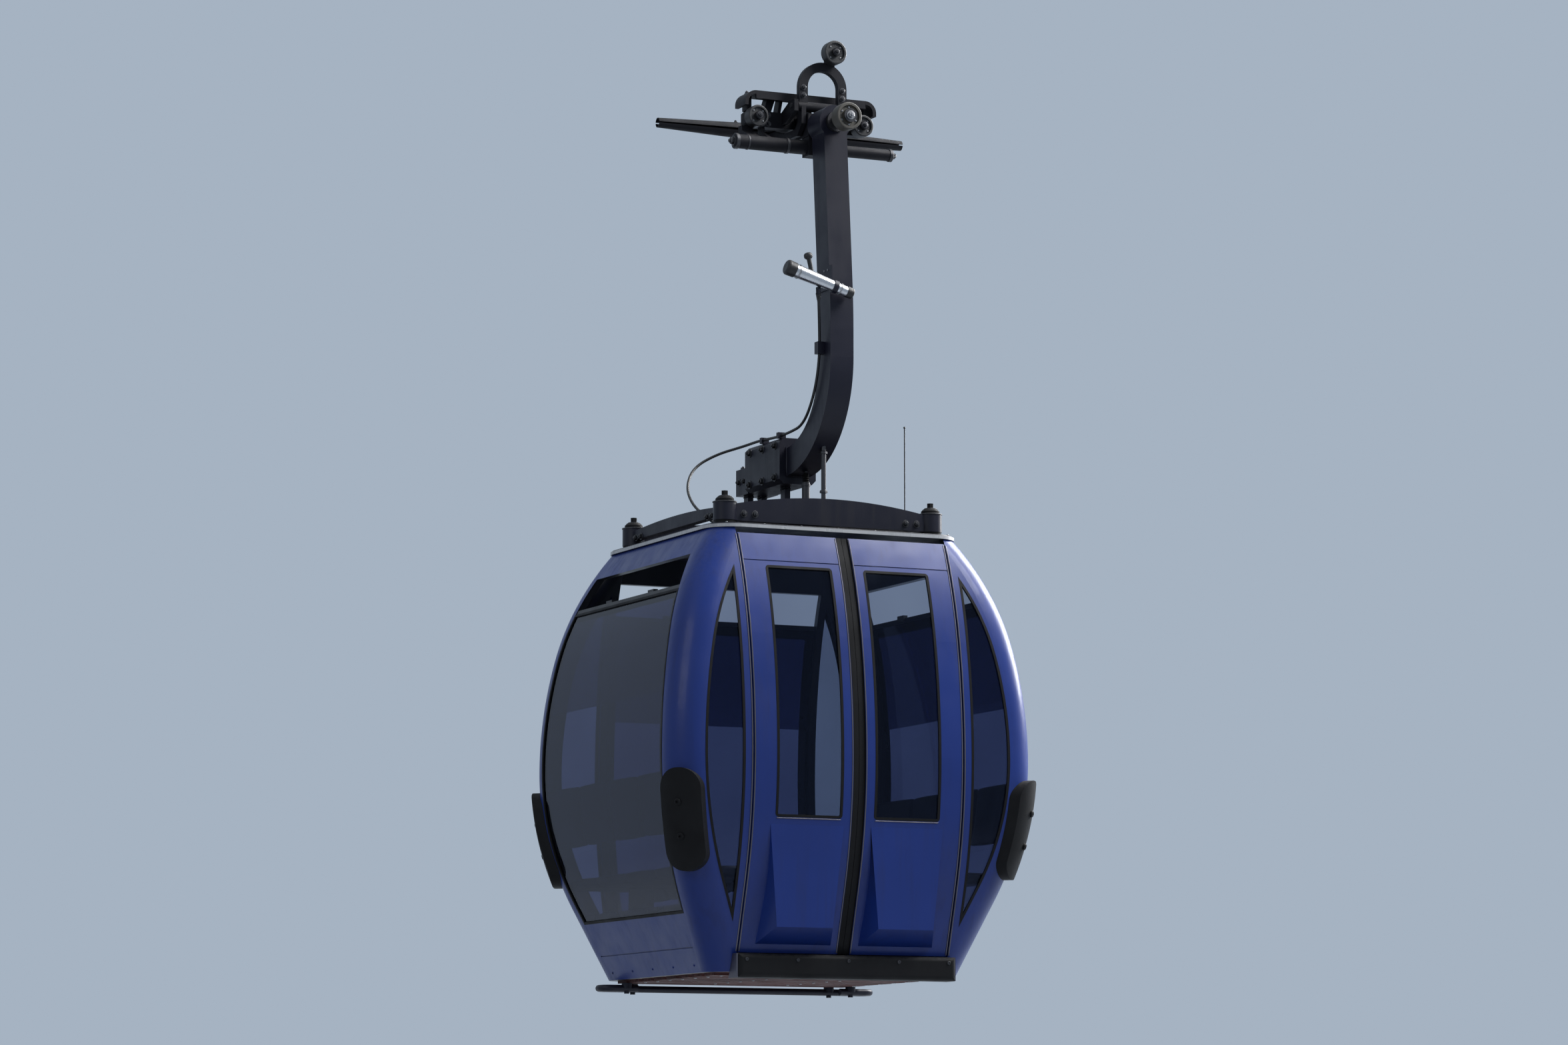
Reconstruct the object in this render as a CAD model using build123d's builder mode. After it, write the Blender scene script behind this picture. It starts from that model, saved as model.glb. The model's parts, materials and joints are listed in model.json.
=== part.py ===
from build123d import *
from math import asin, atan2, cos, degrees, radians, sin, sqrt, tan
import os

# Cable car cabin for eight people, with its hanger and detachable rope grip, in millimetres.
# +X runs along the rope, -Y is the door side, +Z is up, and the origin is on the rope's axis in the grip's jaws.
# Cabin pieces are drawn with heights counted from the cabin's underside, then hung below the rope.

ROPE_HEIGHT = 4270  # rope axis above the cabin's underside

# The cabin's barrel shape: each pair of walls has a straight lower part and three arcs up to the roof.
# Columns: half width at the underside, lean of the lower part in degrees, widest half width, arc radii.
END_WALLS = dict(bottom=676, lean=23.3, widest=975, mid_radius=2600, top_radius=1350)
LONG_WALLS = dict(bottom=690, lean=17.0, widest=910, mid_radius=3200, top_radius=2300)
WIDEST_AT = 1050
SHOULDER_AT = 1620
BODY_TOP = 2150
CORNER_RADIUS = 150
WALL = 35
JOINT_GAP = 0.6  # between body panels
FIT = 0.3  # between a pane or fitting and its seat
REACH = 1300  # half length of cutting prisms

# Openings in the walls
END_MARGIN = 154  # end window edge to the body's corner line
SIDE_MARGIN = 158  # corner window edge to the body's corner line
GLASS_LOW = 280
SEAM = dict(height=116, width=5, depth=4)  # between the end skirt and the panel above
GLASS_HIGH = 1840
HEADER_LOW = 2020
CORNER_WINDOW = dict(inner=605, low=235, high=1970)
DOOR_HALF = 565
DOOR_LOW = 92
DOOR_TOP = 2122
DOOR_SEAM = 6
MEETING_SEAL = 66  # width of the rubber between the two leaves
REAR_GLASS_LOW = 280

# Door leaf
LEAF_WINDOW = dict(inner=84, outer=440, low=735, high=1960, radius=18)
LEAF_CREASE = dict(height=1982, width=5, depth=4)
POCKET = dict(top=700, low=210, foot=104, proud=105)
POCKET_TOP_X = (72, 462)
POCKET_LOW_X = (122, 418)
POCKET_FOOT_X = (60, 490)
POCKET_DEPTH = 160

# Panes
PANE_INSET = 6
PANE = 5
DROP_INSET = 14
DROP_LOW = 1330
RAIL_TOP = 1862
RAIL_INSET = 3
RAIL_DEPTH = 20
TAB = dict(length=70, height=14, depth=12, spacing=520)

# Floor, sill and guide rail
FLOOR = 60
RIB = dict(count=8, pitch=152, width=114, depth=14, half_length=625)
SILL_BUMPER = dict(half=582, low=-30, high=86, proud=92, radius=24)
GUIDE = dict(radius=17, height=-40, half=745, back=586, front=486, inboard=560, bend=46)
GUIDE_FEET = ((545, 586), (620, 486))

# Corner bumpers
BUMPER = dict(width=205, height=485, centre=710, thickness=44, radius=96)

# Benches
SEAT = dict(top=505, thickness=50, front=415, lip=105, half_width=715)
BACKREST = dict(low=660, high=950, thickness=24, margin=72)
LEG = dict(low_x=500, high_x=630, y=430, thickness=18)

# Roof and its suspension frame
ROOF = dict(overhang=10, thickness=22, crown=24, crown_inset=175, crown_corner=60)
FRAME_HALF = 560
FRAME_LOW = 2196
ARCH = dict(end=2270, middle=2330, width=56)
SIDE_BEAM = dict(low=2222, end=2262, middle=2284, width=46)
SPINE = dict(low=2232, high=2296, half=62)
HUB = dict(radius=57, high=2286)
BUFFER = dict(radius=54, cap_radius=46, cap_high=2314, nut_radius=17, nut_high=2342)
AERIAL = dict(x=508, y=-380, radius=3, high=2745, base_radius=16, base_high=24)

# Hanger
ARM = dict(width=125, depth=140, wall=8)
PIVOT_DROP = 60  # hanger pivot below the rope axis
ARM_TOP_Y = -572
ARM_Y = -648
ARM_BEND_AT = 3280
ARM_BEND_RADIUS = 3000
ELBOW_RADIUS = 460
FOOT_AT = 2560
FOOT_END = 195
HEAD = dict(radius=85, length=145)
CLAMP = dict(half=100, front=-205, back=210, low=2452, high=2682)
CLAMP_TAIL = dict(half=84, back=354, high=2586)
CLAMP_LIP = dict(half=66, reach=46, low=2636, high=2668)
POST = dict(width=30, length=50)
POSTS = ((-38, 300), (38, 300), (0, -60))  # centre of each post: x, y
DAMPER = dict(y=-300, radius=20, rod_radius=9, rod_length=60)
STAY = dict(y=-505, radius=12)

# Grip
ROPE = 20  # rope radius
JAW_HALF = 130
PARTING = 2.5
BEAM = dict(half=330, back=-240, front=-300, high=40)
PLATE = dict(half=362, back=-240, front=-366, low=110, thickness=18, drop=58, bend=60, lip=22, lip_depth=12)
# Ribs under the plate: foot and head along the rope, width.
PLATE_RIBS = (
    (-311, -311, 24),
    (-212, -188, 42),
    (-147, -133, 16),
    (-46, -56, 28),
    (26, 22, 16),
    (118, 118, 40),
    (236, 236, 16),
    (311, 311, 24),
)
HOUSING = dict(half=60, front=-460, low=-100, high=15)
TORSION = dict(y=-416, z=-152, left=(-450, 36), right=(425, 29), half=55)
TORSION_BRACKETS = ((-318, 60), (-232, 18))  # place along the rope, width
LEVER_Y = -420
LEVER_Z = 55
BARREL = dict(low=-104, high=178, radius=25, pin=12)
LUG = 22
ARM_PLATES = ((-90, -66), (70, 94))
LEVER_ARCH = dict(centre=32, height=155, outer=130, inner=84, half=17)
RUNNING = 0.05  # radial clearance on pins
ROLLER_PIN = 12
OUTER_ROLLER = dict(radius=68, near=-810, far=-740, seat=25)
INNER_ROLLER = dict(radius=55, near=-372, far=-312, x=290)
LEVER_ROLLER = dict(radius=60, near=-500, far=-446, x=74, z=330)
PIN = 35
TONGUE_END = 680
TONGUE_ROOT = 44
TONGUE_TIP = 25

# Unit on the arm and its lead
UNIT = dict(x=-145, y=-762, height=3382, slope=17, half=190, left_radius=36, right_radius=24)
UNIT_CAPS = dict(left=52, right=36, lip=3, round=14)
COLLAR = dict(at=88, width=24, thickness=5)
BRACKET = dict(thickness=6, low=3352, high=3470, back=-596)
LEAD_RADIUS = 7
GLAND = dict(radius=12, length=16)
# Corners of the lead from the unit, down the arm, over the foot clamp and in a free loop to the roof: x, y, height.
LEAD_ROUTE = (
    (-138, -738, 3322),
    (-92, -652, 3186),
    (-80, -628, 3010),
    (-78, -562, 2846),
    (-78, -440, 2716),
    (-76, -275, 2699),
    (-77, -108, 2695),
    (-84, 60, 2703),
    (-110, 209, 2690),
    (-210, 314, 2658),
    (-330, 334, 2586),
    (-410, 245, 2470),
    (-440, 98, 2358),
    (-428, -60, 2276),
    (-408, -142, 2226),
    (-406, -203, 2221),
)
ARM_CLIP = dict(low=3040, high=3100, half=20, far=-100)
CLAMP_CLIPS = (-170, 30)
JUNCTION = dict(x=-406, width=74, front=-300, high=2246)

PARTS = "parts"
os.makedirs(PARTS, exist_ok=True)


def save(piece, name):
    """Writes one finished piece, which is already in the rope's frame."""
    piece.label = name
    export_step(piece, os.path.join(PARTS, name + ".step"))


def hang(piece, name):
    """Moves a cabin piece below the rope and writes it."""
    save(piece.moved(Location((0, 0, -ROPE_HEIGHT))), name)


def joined(pieces):
    """Several solids that share one node."""
    return Compound(children=[solid for piece in pieces for solid in piece.solids()])


def half_profile(walls, inset, low, high):
    """Points of one wall's outline from its foot to its head: line, then three arcs as start, middle, end."""
    lean = radians(walls["lean"])
    half_turn = tan(lean / 2)
    knee_at = (walls["widest"] - walls["bottom"] - half_turn * WIDEST_AT) / (tan(lean) - half_turn)
    low_radius = (WIDEST_AT - knee_at) / sin(lean)
    low_centre = (walls["widest"] - low_radius, WIDEST_AT)
    mid_centre = (walls["widest"] - walls["mid_radius"], WIDEST_AT)
    mid_turn = asin((SHOULDER_AT - WIDEST_AT) / walls["mid_radius"])
    shift = walls["mid_radius"] - walls["top_radius"]
    top_centre = (mid_centre[0] + shift * cos(mid_turn), mid_centre[1] + shift * sin(mid_turn))
    top_turn = asin((high - top_centre[1]) / (walls["top_radius"] - inset))

    def on(centre, radius, turn):
        return (centre[0] + (radius - inset) * cos(turn), centre[1] + (radius - inset) * sin(turn))

    knee = on(low_centre, low_radius, -lean)
    return [
        (knee[0] - (knee[1] - low) * tan(lean), low),
        knee,
        on(low_centre, low_radius, -lean / 2),
        on(low_centre, low_radius, 0),
        on(mid_centre, walls["mid_radius"], mid_turn / 2),
        on(mid_centre, walls["mid_radius"], mid_turn),
        on(top_centre, walls["top_radius"], (mid_turn + top_turn) / 2),
        on(top_centre, walls["top_radius"], top_turn),
    ]


def half_width(walls, height):
    """Half width between a pair of walls at a height."""
    return half_profile(walls, 0, 0, height)[7][0] if height > SHOULDER_AT else lower_half_width(walls, height)


def lower_half_width(walls, height):
    """Half width below the shoulder, on the straight part or on one of the first two arcs."""
    foot, knee, _, widest, _, _, _, _ = half_profile(walls, 0, 0, BODY_TOP)
    if height <= knee[1]:
        return foot[0] + height * tan(radians(walls["lean"]))
    radius = (WIDEST_AT - knee[1]) / sin(radians(walls["lean"])) if height < WIDEST_AT else walls["mid_radius"]
    return widest[0] - radius + sqrt(radius**2 - (height - WIDEST_AT) ** 2)


def profile_prism(walls, plane, inset, low, high):
    """The outline of a pair of walls, drawn out across the whole cabin."""
    foot, knee, low_mid, widest, mid_mid, shoulder, top_mid, head = half_profile(walls, inset, low, high)
    with BuildPart() as prism:
        with BuildSketch(plane):
            with BuildLine():
                Line((0, low), foot)
                Line(foot, knee)
                ThreePointArc(knee, low_mid, widest)
                ThreePointArc(widest, mid_mid, shoulder)
                ThreePointArc(shoulder, top_mid, head)
                Line(head, (0, high))
                mirror(about=Plane.YZ)
            make_face()
        extrude(amount=REACH, both=True)
    return prism.part


def barrel(inset, low=0, high=BODY_TOP):
    """The whole body shape, taken in by inset, with its four upright corners rounded."""
    with BuildPart() as shape:
        add(profile_prism(END_WALLS, Plane.XZ, inset, low, high))
        add(profile_prism(LONG_WALLS, Plane.YZ, inset, low, high), mode=Mode.INTERSECT)
        uprights = [edge for edge in shape.edges() if edge.bounding_box().size.Z > 1]
        fillet(uprights, CORNER_RADIUS - inset)
    return shape.part


def shell(outside, inside, low=0, high=BODY_TOP):
    """The skin between two insets of the body shape."""
    with BuildPart() as skin:
        add(barrel(outside, low, high))
        add(barrel(inside, low - 5, high + 5), mode=Mode.SUBTRACT)
    return skin.part


def slab(low_corner, high_corner):
    """A box between two corners."""
    sizes = [high - low for low, high in zip(low_corner, high_corner)]
    with BuildPart() as box:
        with Locations(low_corner):
            Box(*sizes, align=(Align.MIN, Align.MIN, Align.MIN))
    return box.part


def band(shape, low, high):
    """The part of a shape between two heights."""
    with BuildPart() as cut:
        add(shape)
        add(slab((-REACH, -REACH, low), (REACH, REACH, high)), mode=Mode.INTERSECT)
    return cut.part


def end_zone(margin, low, high):
    """Everything at the left end that lies inside the end window's outline, between two heights."""
    with BuildPart() as zone:
        add(profile_prism(LONG_WALLS, Plane.YZ, margin, -5, BODY_TOP + 5))
        add(slab((-REACH, -REACH, low), (-300, REACH, high)), mode=Mode.INTERSECT)
    return zone.part


def corner_window_zone(clearance):
    """The tall narrow window in the front left corner frame, as a prism across the wall."""
    low = CORNER_WINDOW["low"] + clearance
    high = CORNER_WINDOW["high"] - clearance
    with BuildPart() as zone:
        add(profile_prism(END_WALLS, Plane.XZ, SIDE_MARGIN + clearance, -5, BODY_TOP + 5))
        add(slab((-REACH, -REACH, low), (-CORNER_WINDOW["inner"] - clearance, -300, high)), mode=Mode.INTERSECT)
    return zone.part


def both_ends(piece):
    """A piece and its mirror image at the other end of the cabin."""
    return [piece, mirror(piece, about=Plane.YZ)]


# Body panels

WALL_SKIN = shell(0, WALL)


def corner_frame():
    """Front left corner post with the ring round its narrow window."""
    with BuildPart() as frame:
        add(WALL_SKIN)
        add(slab((-REACH, -REACH, -1), (-JOINT_GAP, -JOINT_GAP, BODY_TOP + 1)), mode=Mode.INTERSECT)
        add(end_zone(END_MARGIN, -1, BODY_TOP + 1), mode=Mode.SUBTRACT)
        add(slab((-DOOR_HALF, -REACH, -1), (0, 0, BODY_TOP + 1)), mode=Mode.SUBTRACT)
        add(corner_window_zone(0), mode=Mode.SUBTRACT)
    return frame.part


def end_strip(low, high):
    """A strip of the left end wall inside the end window's outline."""
    with BuildPart() as strip:
        add(WALL_SKIN)
        add(end_zone(END_MARGIN + JOINT_GAP, low, high), mode=Mode.INTERSECT)
    return strip.part


def end_panel():
    """Lower end panel with the seam that divides the skirt from the panel above."""
    with BuildPart() as panel:
        add(end_strip(0, GLASS_LOW))
        add(band(shell(-1, SEAM["depth"]), SEAM["height"], SEAM["height"] + SEAM["width"]), mode=Mode.SUBTRACT)
    return panel.part


def rear_strip(low, high):
    """A strip of the rear wall between the corner frames."""
    with BuildPart() as strip:
        add(WALL_SKIN)
        half = DOOR_HALF - JOINT_GAP
        add(slab((-half, 0, low), (half, REACH, high)), mode=Mode.INTERSECT)
    return strip.part


frame_front_left = corner_frame()
frame_rear_left = mirror(frame_front_left, about=Plane.XZ)
hang(frame_front_left, "corner_frame_front_left")
hang(mirror(frame_front_left, about=Plane.YZ), "corner_frame_front_right")
hang(frame_rear_left, "corner_frame_rear_left")
hang(mirror(frame_rear_left, about=Plane.YZ), "corner_frame_rear_right")

panel_left, panel_right = both_ends(end_panel())
hang(panel_left, "end_panel_left")
hang(panel_right, "end_panel_right")
hang(rear_strip(0, REAR_GLASS_LOW), "rear_panel")
header_left, header_right = both_ends(end_strip(HEADER_LOW, BODY_TOP))
hang(header_left, "end_header_left")
hang(header_right, "end_header_right")
hang(rear_strip(HEADER_LOW, BODY_TOP), "rear_header")


# Panes, drop panes and the rails along their tops

PANE_SKIN = shell(PANE_INSET, PANE_INSET + PANE)
DROP_SKIN = shell(DROP_INSET, DROP_INSET + PANE)
RAIL_SKIN = shell(RAIL_INSET, RAIL_INSET + RAIL_DEPTH)


def end_fill(skin, low, high):
    """A piece of a skin that fills the left end window between two heights."""
    with BuildPart() as fill:
        add(skin)
        add(end_zone(END_MARGIN + FIT, low, high), mode=Mode.INTERSECT)
    return fill.part


def rear_fill(skin, low, high):
    """A piece of a skin that fills the rear window between two heights."""
    half = DOOR_HALF - FIT
    with BuildPart() as fill:
        add(skin)
        add(slab((-half, 0, low), (half, REACH, high)), mode=Mode.INTERSECT)
    return fill.part


def end_rail():
    """Rail on the left end pane, with the two finger tabs of the drop pane."""
    with BuildPart() as rail:
        add(end_fill(RAIL_SKIN, GLASS_HIGH + FIT, RAIL_TOP))
        inner = half_width(END_WALLS, RAIL_TOP) - RAIL_INSET - RAIL_DEPTH
        for side in (-1, 1):
            y = side * TAB["spacing"] / 2
            low = (-inner - TAB["depth"], y - TAB["length"] / 2, RAIL_TOP - TAB["height"])
            high = (-inner + TAB["depth"], y + TAB["length"] / 2, RAIL_TOP + TAB["height"])
            add(slab(low, high))
    return rail.part


def rear_rail():
    """Rail on the rear pane, with its two finger tabs."""
    with BuildPart() as rail:
        add(rear_fill(RAIL_SKIN, GLASS_HIGH + FIT, RAIL_TOP))
        inner = half_width(LONG_WALLS, RAIL_TOP) - RAIL_INSET - RAIL_DEPTH
        for side in (-1, 1):
            x = side * TAB["spacing"] / 2
            low = (x - TAB["length"] / 2, inner - TAB["depth"], RAIL_TOP - TAB["height"])
            high = (x + TAB["length"] / 2, inner + TAB["depth"], RAIL_TOP + TAB["height"])
            add(slab(low, high))
    return rail.part


def corner_pane():
    """Pane of the front left corner window."""
    with BuildPart() as pane:
        add(PANE_SKIN)
        add(corner_window_zone(FIT), mode=Mode.INTERSECT)
    return pane.part


glass_left, glass_right = both_ends(end_fill(PANE_SKIN, GLASS_LOW + FIT, GLASS_HIGH))
hang(glass_left, "end_glass_left")
hang(glass_right, "end_glass_right")
hang(rear_fill(PANE_SKIN, REAR_GLASS_LOW + FIT, GLASS_HIGH), "rear_glass")
drop_pieces = both_ends(end_fill(DROP_SKIN, DROP_LOW, GLASS_HIGH)) + [rear_fill(DROP_SKIN, DROP_LOW, GLASS_HIGH)]
hang(joined(drop_pieces), "drop_panes")
hang(joined(both_ends(end_rail()) + [rear_rail()]), "window_rails")
corner_panes = both_ends(corner_pane())
corner_panes += [mirror(pane, about=Plane.XZ) for pane in corner_panes]
hang(joined(corner_panes), "corner_glass")


# Doors

def leaf_window(clearance):
    """The left leaf's window as a prism across the wall."""
    width = LEAF_WINDOW["outer"] - LEAF_WINDOW["inner"] - 2 * clearance
    height = LEAF_WINDOW["high"] - LEAF_WINDOW["low"] - 2 * clearance
    centre_x = (LEAF_WINDOW["outer"] + LEAF_WINDOW["inner"]) / 2
    centre_z = (LEAF_WINDOW["high"] + LEAF_WINDOW["low"]) / 2
    with BuildPart() as hole:
        with BuildSketch(Plane.XZ):
            with Locations((-centre_x, centre_z)):
                RectangleRounded(width, height, LEAF_WINDOW["radius"])
        extrude(amount=REACH)
    return hole.part


def pocket():
    """The boxed-out lower part of the left leaf: flush at the top, proud at the bottom, with sloping flanks."""
    top_y = half_width(LONG_WALLS, POCKET["top"])
    low_y = half_width(LONG_WALLS, POCKET["low"]) + POCKET["proud"]
    fall = atan2(top_y - low_y, POCKET["top"] - POCKET["low"])
    face_length = (POCKET["top"] - POCKET["low"]) / cos(fall)
    foot_length = (POCKET["top"] - POCKET["foot"]) / cos(fall)
    face = Plane(origin=(0, -top_y, POCKET["top"]), x_dir=(1, 0, 0), z_dir=(0, -cos(fall), -sin(fall)))
    with BuildPart() as box:
        with BuildSketch(face):
            with BuildLine():
                Polyline(
                    (-POCKET_TOP_X[1], 0),
                    (-POCKET_TOP_X[0], 0),
                    (-POCKET_LOW_X[0], -face_length),
                    (-POCKET_LOW_X[1], -face_length),
                    close=True,
                )
            make_face()
        with BuildSketch(face.offset(-POCKET_DEPTH)):
            with BuildLine():
                Polyline(
                    (-POCKET_FOOT_X[1], 0),
                    (-POCKET_FOOT_X[0], 0),
                    (-POCKET_FOOT_X[0], -foot_length),
                    (-POCKET_FOOT_X[1], -foot_length),
                    close=True,
                )
            make_face()
        loft(ruled=True)
        add(barrel(WALL / 2), mode=Mode.SUBTRACT)
    return box.part


def door_leaf():
    """Left leaf, with its window cut and its lower part boxed out."""
    with BuildPart() as leaf:
        add(WALL_SKIN)
        low = (-DOOR_HALF + DOOR_SEAM, -REACH, DOOR_LOW)
        high = (-MEETING_SEAL / 2, 0, DOOR_TOP)
        add(slab(low, high), mode=Mode.INTERSECT)
        add(leaf_window(0), mode=Mode.SUBTRACT)
        crease_low = LEAF_CREASE["height"]
        crease = band(shell(-1, LEAF_CREASE["depth"]), crease_low, crease_low + LEAF_CREASE["width"])
        add(crease, mode=Mode.SUBTRACT)
        add(pocket())
    return leaf.part


def leaf_pane():
    """Pane of the left leaf."""
    with BuildPart() as pane:
        add(PANE_SKIN)
        add(leaf_window(FIT), mode=Mode.INTERSECT)
    return pane.part


def door_seals():
    """Rubber round the doorway's sides and the two lips between the leaves."""
    seal_skin = band(shell(8, WALL - 4), DOOR_LOW, DOOR_TOP)
    with BuildPart() as side_seal:
        add(seal_skin)
        add(slab((-DOOR_HALF, -REACH, 0), (-DOOR_HALF + DOOR_SEAM, 0, BODY_TOP)), mode=Mode.INTERSECT)
    with BuildPart() as lip:
        add(seal_skin)
        add(slab((-MEETING_SEAL / 2, -REACH, 0), (-1, 0, BODY_TOP)), mode=Mode.INTERSECT)
    return joined(both_ends(side_seal.part) + both_ends(lip.part))


leaf_left, leaf_right = both_ends(door_leaf())
hang(leaf_left, "door_leaf_left")
hang(leaf_right, "door_leaf_right")
pane_left, pane_right = both_ends(leaf_pane())
hang(pane_left, "door_glass_left")
hang(pane_right, "door_glass_right")
hang(door_seals(), "door_seals")


# Floor, sill bumper and guide rail

def floor():
    """Floor pan inside the walls, with the door sill and the boards that show from below."""
    with BuildPart() as pan:
        add(band(barrel(WALL + FIT), 0, FLOOR))
        with BuildPart(mode=Mode.PRIVATE) as sill:
            add(shell(0, WALL + 2))
            half = DOOR_HALF - JOINT_GAP
            add(slab((-half, -REACH, 0), (half, 0, DOOR_LOW - 4)), mode=Mode.INTERSECT)
        add(sill.part)
        with BuildSketch(Plane.XY):
            with GridLocations(0, RIB["pitch"], 1, RIB["count"]):
                Rectangle(2 * RIB["half_length"], RIB["width"])
        extrude(amount=-RIB["depth"])
    return pan.part


def sill_bumper():
    """Rubber step edge below the doors."""
    foot = half_width(LONG_WALLS, 0)
    with BuildPart() as bumper:
        low = (-SILL_BUMPER["half"], -foot - SILL_BUMPER["proud"], SILL_BUMPER["low"])
        high = (SILL_BUMPER["half"], -foot + 40, SILL_BUMPER["high"])
        add(slab(low, high))
        front = bumper.faces().sort_by(Axis.Y)[0]
        fillet(front.edges(), SILL_BUMPER["radius"])
        add(barrel(-FIT, SILL_BUMPER["low"] - 5), mode=Mode.SUBTRACT)
    return bumper.part


def guide_rail():
    """Bent tube under the rear of the floor, on four bolted feet."""
    route = [(-GUIDE["inboard"], GUIDE["front"]), (-GUIDE["half"], GUIDE["front"]), (-GUIDE["half"], GUIDE["back"])]
    route += [(-x, y) for x, y in reversed(route)]
    with BuildPart() as rail:
        with BuildLine(Plane.XY.offset(GUIDE["height"])) as path:
            FilletPolyline(*route, radius=GUIDE["bend"])
        with BuildSketch(Plane(origin=path.line @ 0, z_dir=path.line % 0)):
            Circle(GUIDE["radius"])
        sweep()
        for x, y in GUIDE_FEET:
            with BuildSketch(Plane.XY.offset(-RIB["depth"])):
                with Locations((-x, y), (x, y)):
                    Circle(26)
            extrude(amount=GUIDE["height"] + RIB["depth"])
            with BuildSketch(Plane.XY.offset(GUIDE["height"])):
                with Locations((-x, y), (x, y)):
                    RegularPolygon(14, 6)
            extrude(amount=-GUIDE["radius"] - 10)
    return rail.part


hang(floor(), "floor")
hang(sill_bumper(), "sill_bumper")
hang(guide_rail(), "guide_rail")


# Corner bumpers

def corner_bumper():
    """Rubber pad wrapped round the front left corner at its widest part."""
    start = (-half_width(END_WALLS, BUMPER["centre"]) + CORNER_RADIUS,
             -half_width(LONG_WALLS, BUMPER["centre"]) + CORNER_RADIUS,
             BUMPER["centre"])
    across = Plane(origin=start, x_dir=(1, -1, 0), z_dir=(-1, -1, 0))
    with BuildPart() as pad:
        with BuildSketch(across):
            RectangleRounded(BUMPER["width"], BUMPER["height"], BUMPER["radius"])
        extrude(amount=REACH)
        add(barrel(-BUMPER["thickness"]), mode=Mode.INTERSECT)
        add(barrel(-FIT), mode=Mode.SUBTRACT)
    return pad.part


pads = both_ends(corner_bumper())
pads += [mirror(pad, about=Plane.XZ) for pad in pads]
hang(joined(pads), "corner_bumpers")


# Benches

def seat():
    """Seat pan of the left bench, from the end wall to its turned-down front edge."""
    top = SEAT["top"]
    under = top - SEAT["thickness"]
    front = SEAT["front"]
    with BuildPart() as pan:
        with BuildSketch(Plane.XZ):
            with BuildLine():
                Polyline(
                    (-REACH, under),
                    (-front - 50, under),
                    (-front - 32, top - SEAT["lip"]),
                    (-front, top - SEAT["lip"]),
                    (-front, top - 26),
                    (-front - 26, top),
                    (-REACH, top - 8),
                    close=True,
                )
            make_face()
        extrude(amount=SEAT["half_width"], both=True)
        add(barrel(WALL + FIT), mode=Mode.INTERSECT)
    return pan.part


def backrest():
    """Padded rail behind the left bench, carried by the two corner frames."""
    inset = WALL + FIT
    with BuildPart() as rest:
        add(shell(inset, inset + BACKREST["thickness"]))
        add(end_zone(BACKREST["margin"], BACKREST["low"], BACKREST["high"]), mode=Mode.INTERSECT)
    return rest.part


def bench_legs():
    """Two upright plates under the left seat."""
    with BuildPart() as legs:
        for side in (-1, 1):
            y = side * LEG["y"]
            low = (-LEG["high_x"], y - LEG["thickness"] / 2, FLOOR)
            high = (-LEG["low_x"], y + LEG["thickness"] / 2, SEAT["top"] - SEAT["thickness"])
            add(slab(low, high))
    return legs.part


seat_left, seat_right = both_ends(seat())
hang(seat_left, "seat_left")
hang(seat_right, "seat_right")
hang(joined(both_ends(backrest())), "backrests")
hang(joined(both_ends(bench_legs())), "bench_legs")


# Roof

def roof():
    """Roof plate with a low crown."""
    half_x = half_width(END_WALLS, BODY_TOP)
    half_y = half_width(LONG_WALLS, BODY_TOP)
    over = ROOF["overhang"]
    under = ROOF["crown_inset"]
    edge = ROOF["crown_corner"]
    with BuildPart() as cap:
        with BuildSketch(Plane.XY.offset(BODY_TOP)):
            RectangleRounded(2 * (half_x + over), 2 * (half_y + over), CORNER_RADIUS)
        extrude(amount=ROOF["thickness"])
        chamfer(cap.faces().sort_by(Axis.Z)[-1].edges(), 6)
        with BuildSketch(Plane.XY.offset(BODY_TOP + ROOF["thickness"])):
            RectangleRounded(2 * (half_x - under), 2 * (half_y - under), edge)
        extrude(amount=ROOF["crown"], taper=60)
    return cap.part


def arched_beam(plane, half_length, beam):
    """A beam with a level underside and an arched back."""
    low, end, middle = beam["low"], beam["end"], beam["middle"]
    with BuildPart() as bow:
        with BuildSketch(plane):
            with BuildLine():
                Polyline((-half_length, end), (-half_length, low), (half_length, low), (half_length, end))
                ThreePointArc((half_length, end), (0, middle), (-half_length, end))
            make_face()
        extrude(amount=beam["width"] / 2, both=True)
    return bow.part


def roof_frame():
    """Welded square of four bowed beams with a spine under the hanger's foot and a hub at each corner."""
    front = dict(ARCH, low=FRAME_LOW)
    with BuildPart() as frame:
        for side in (-1, 1):
            add(arched_beam(Plane.XZ.offset(side * FRAME_HALF), FRAME_HALF, front))
            add(arched_beam(Plane.YZ.offset(side * FRAME_HALF), FRAME_HALF, SIDE_BEAM))
        low = (-SPINE["half"], -FRAME_HALF, SPINE["low"])
        add(slab(low, (SPINE["half"], FRAME_HALF, SPINE["high"])))
        with BuildSketch(Plane.XY.offset(FRAME_LOW)):
            with GridLocations(2 * FRAME_HALF, 2 * FRAME_HALF, 2, 2):
                Circle(HUB["radius"])
        extrude(amount=HUB["high"] - FRAME_LOW)
    return frame.part


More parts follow.
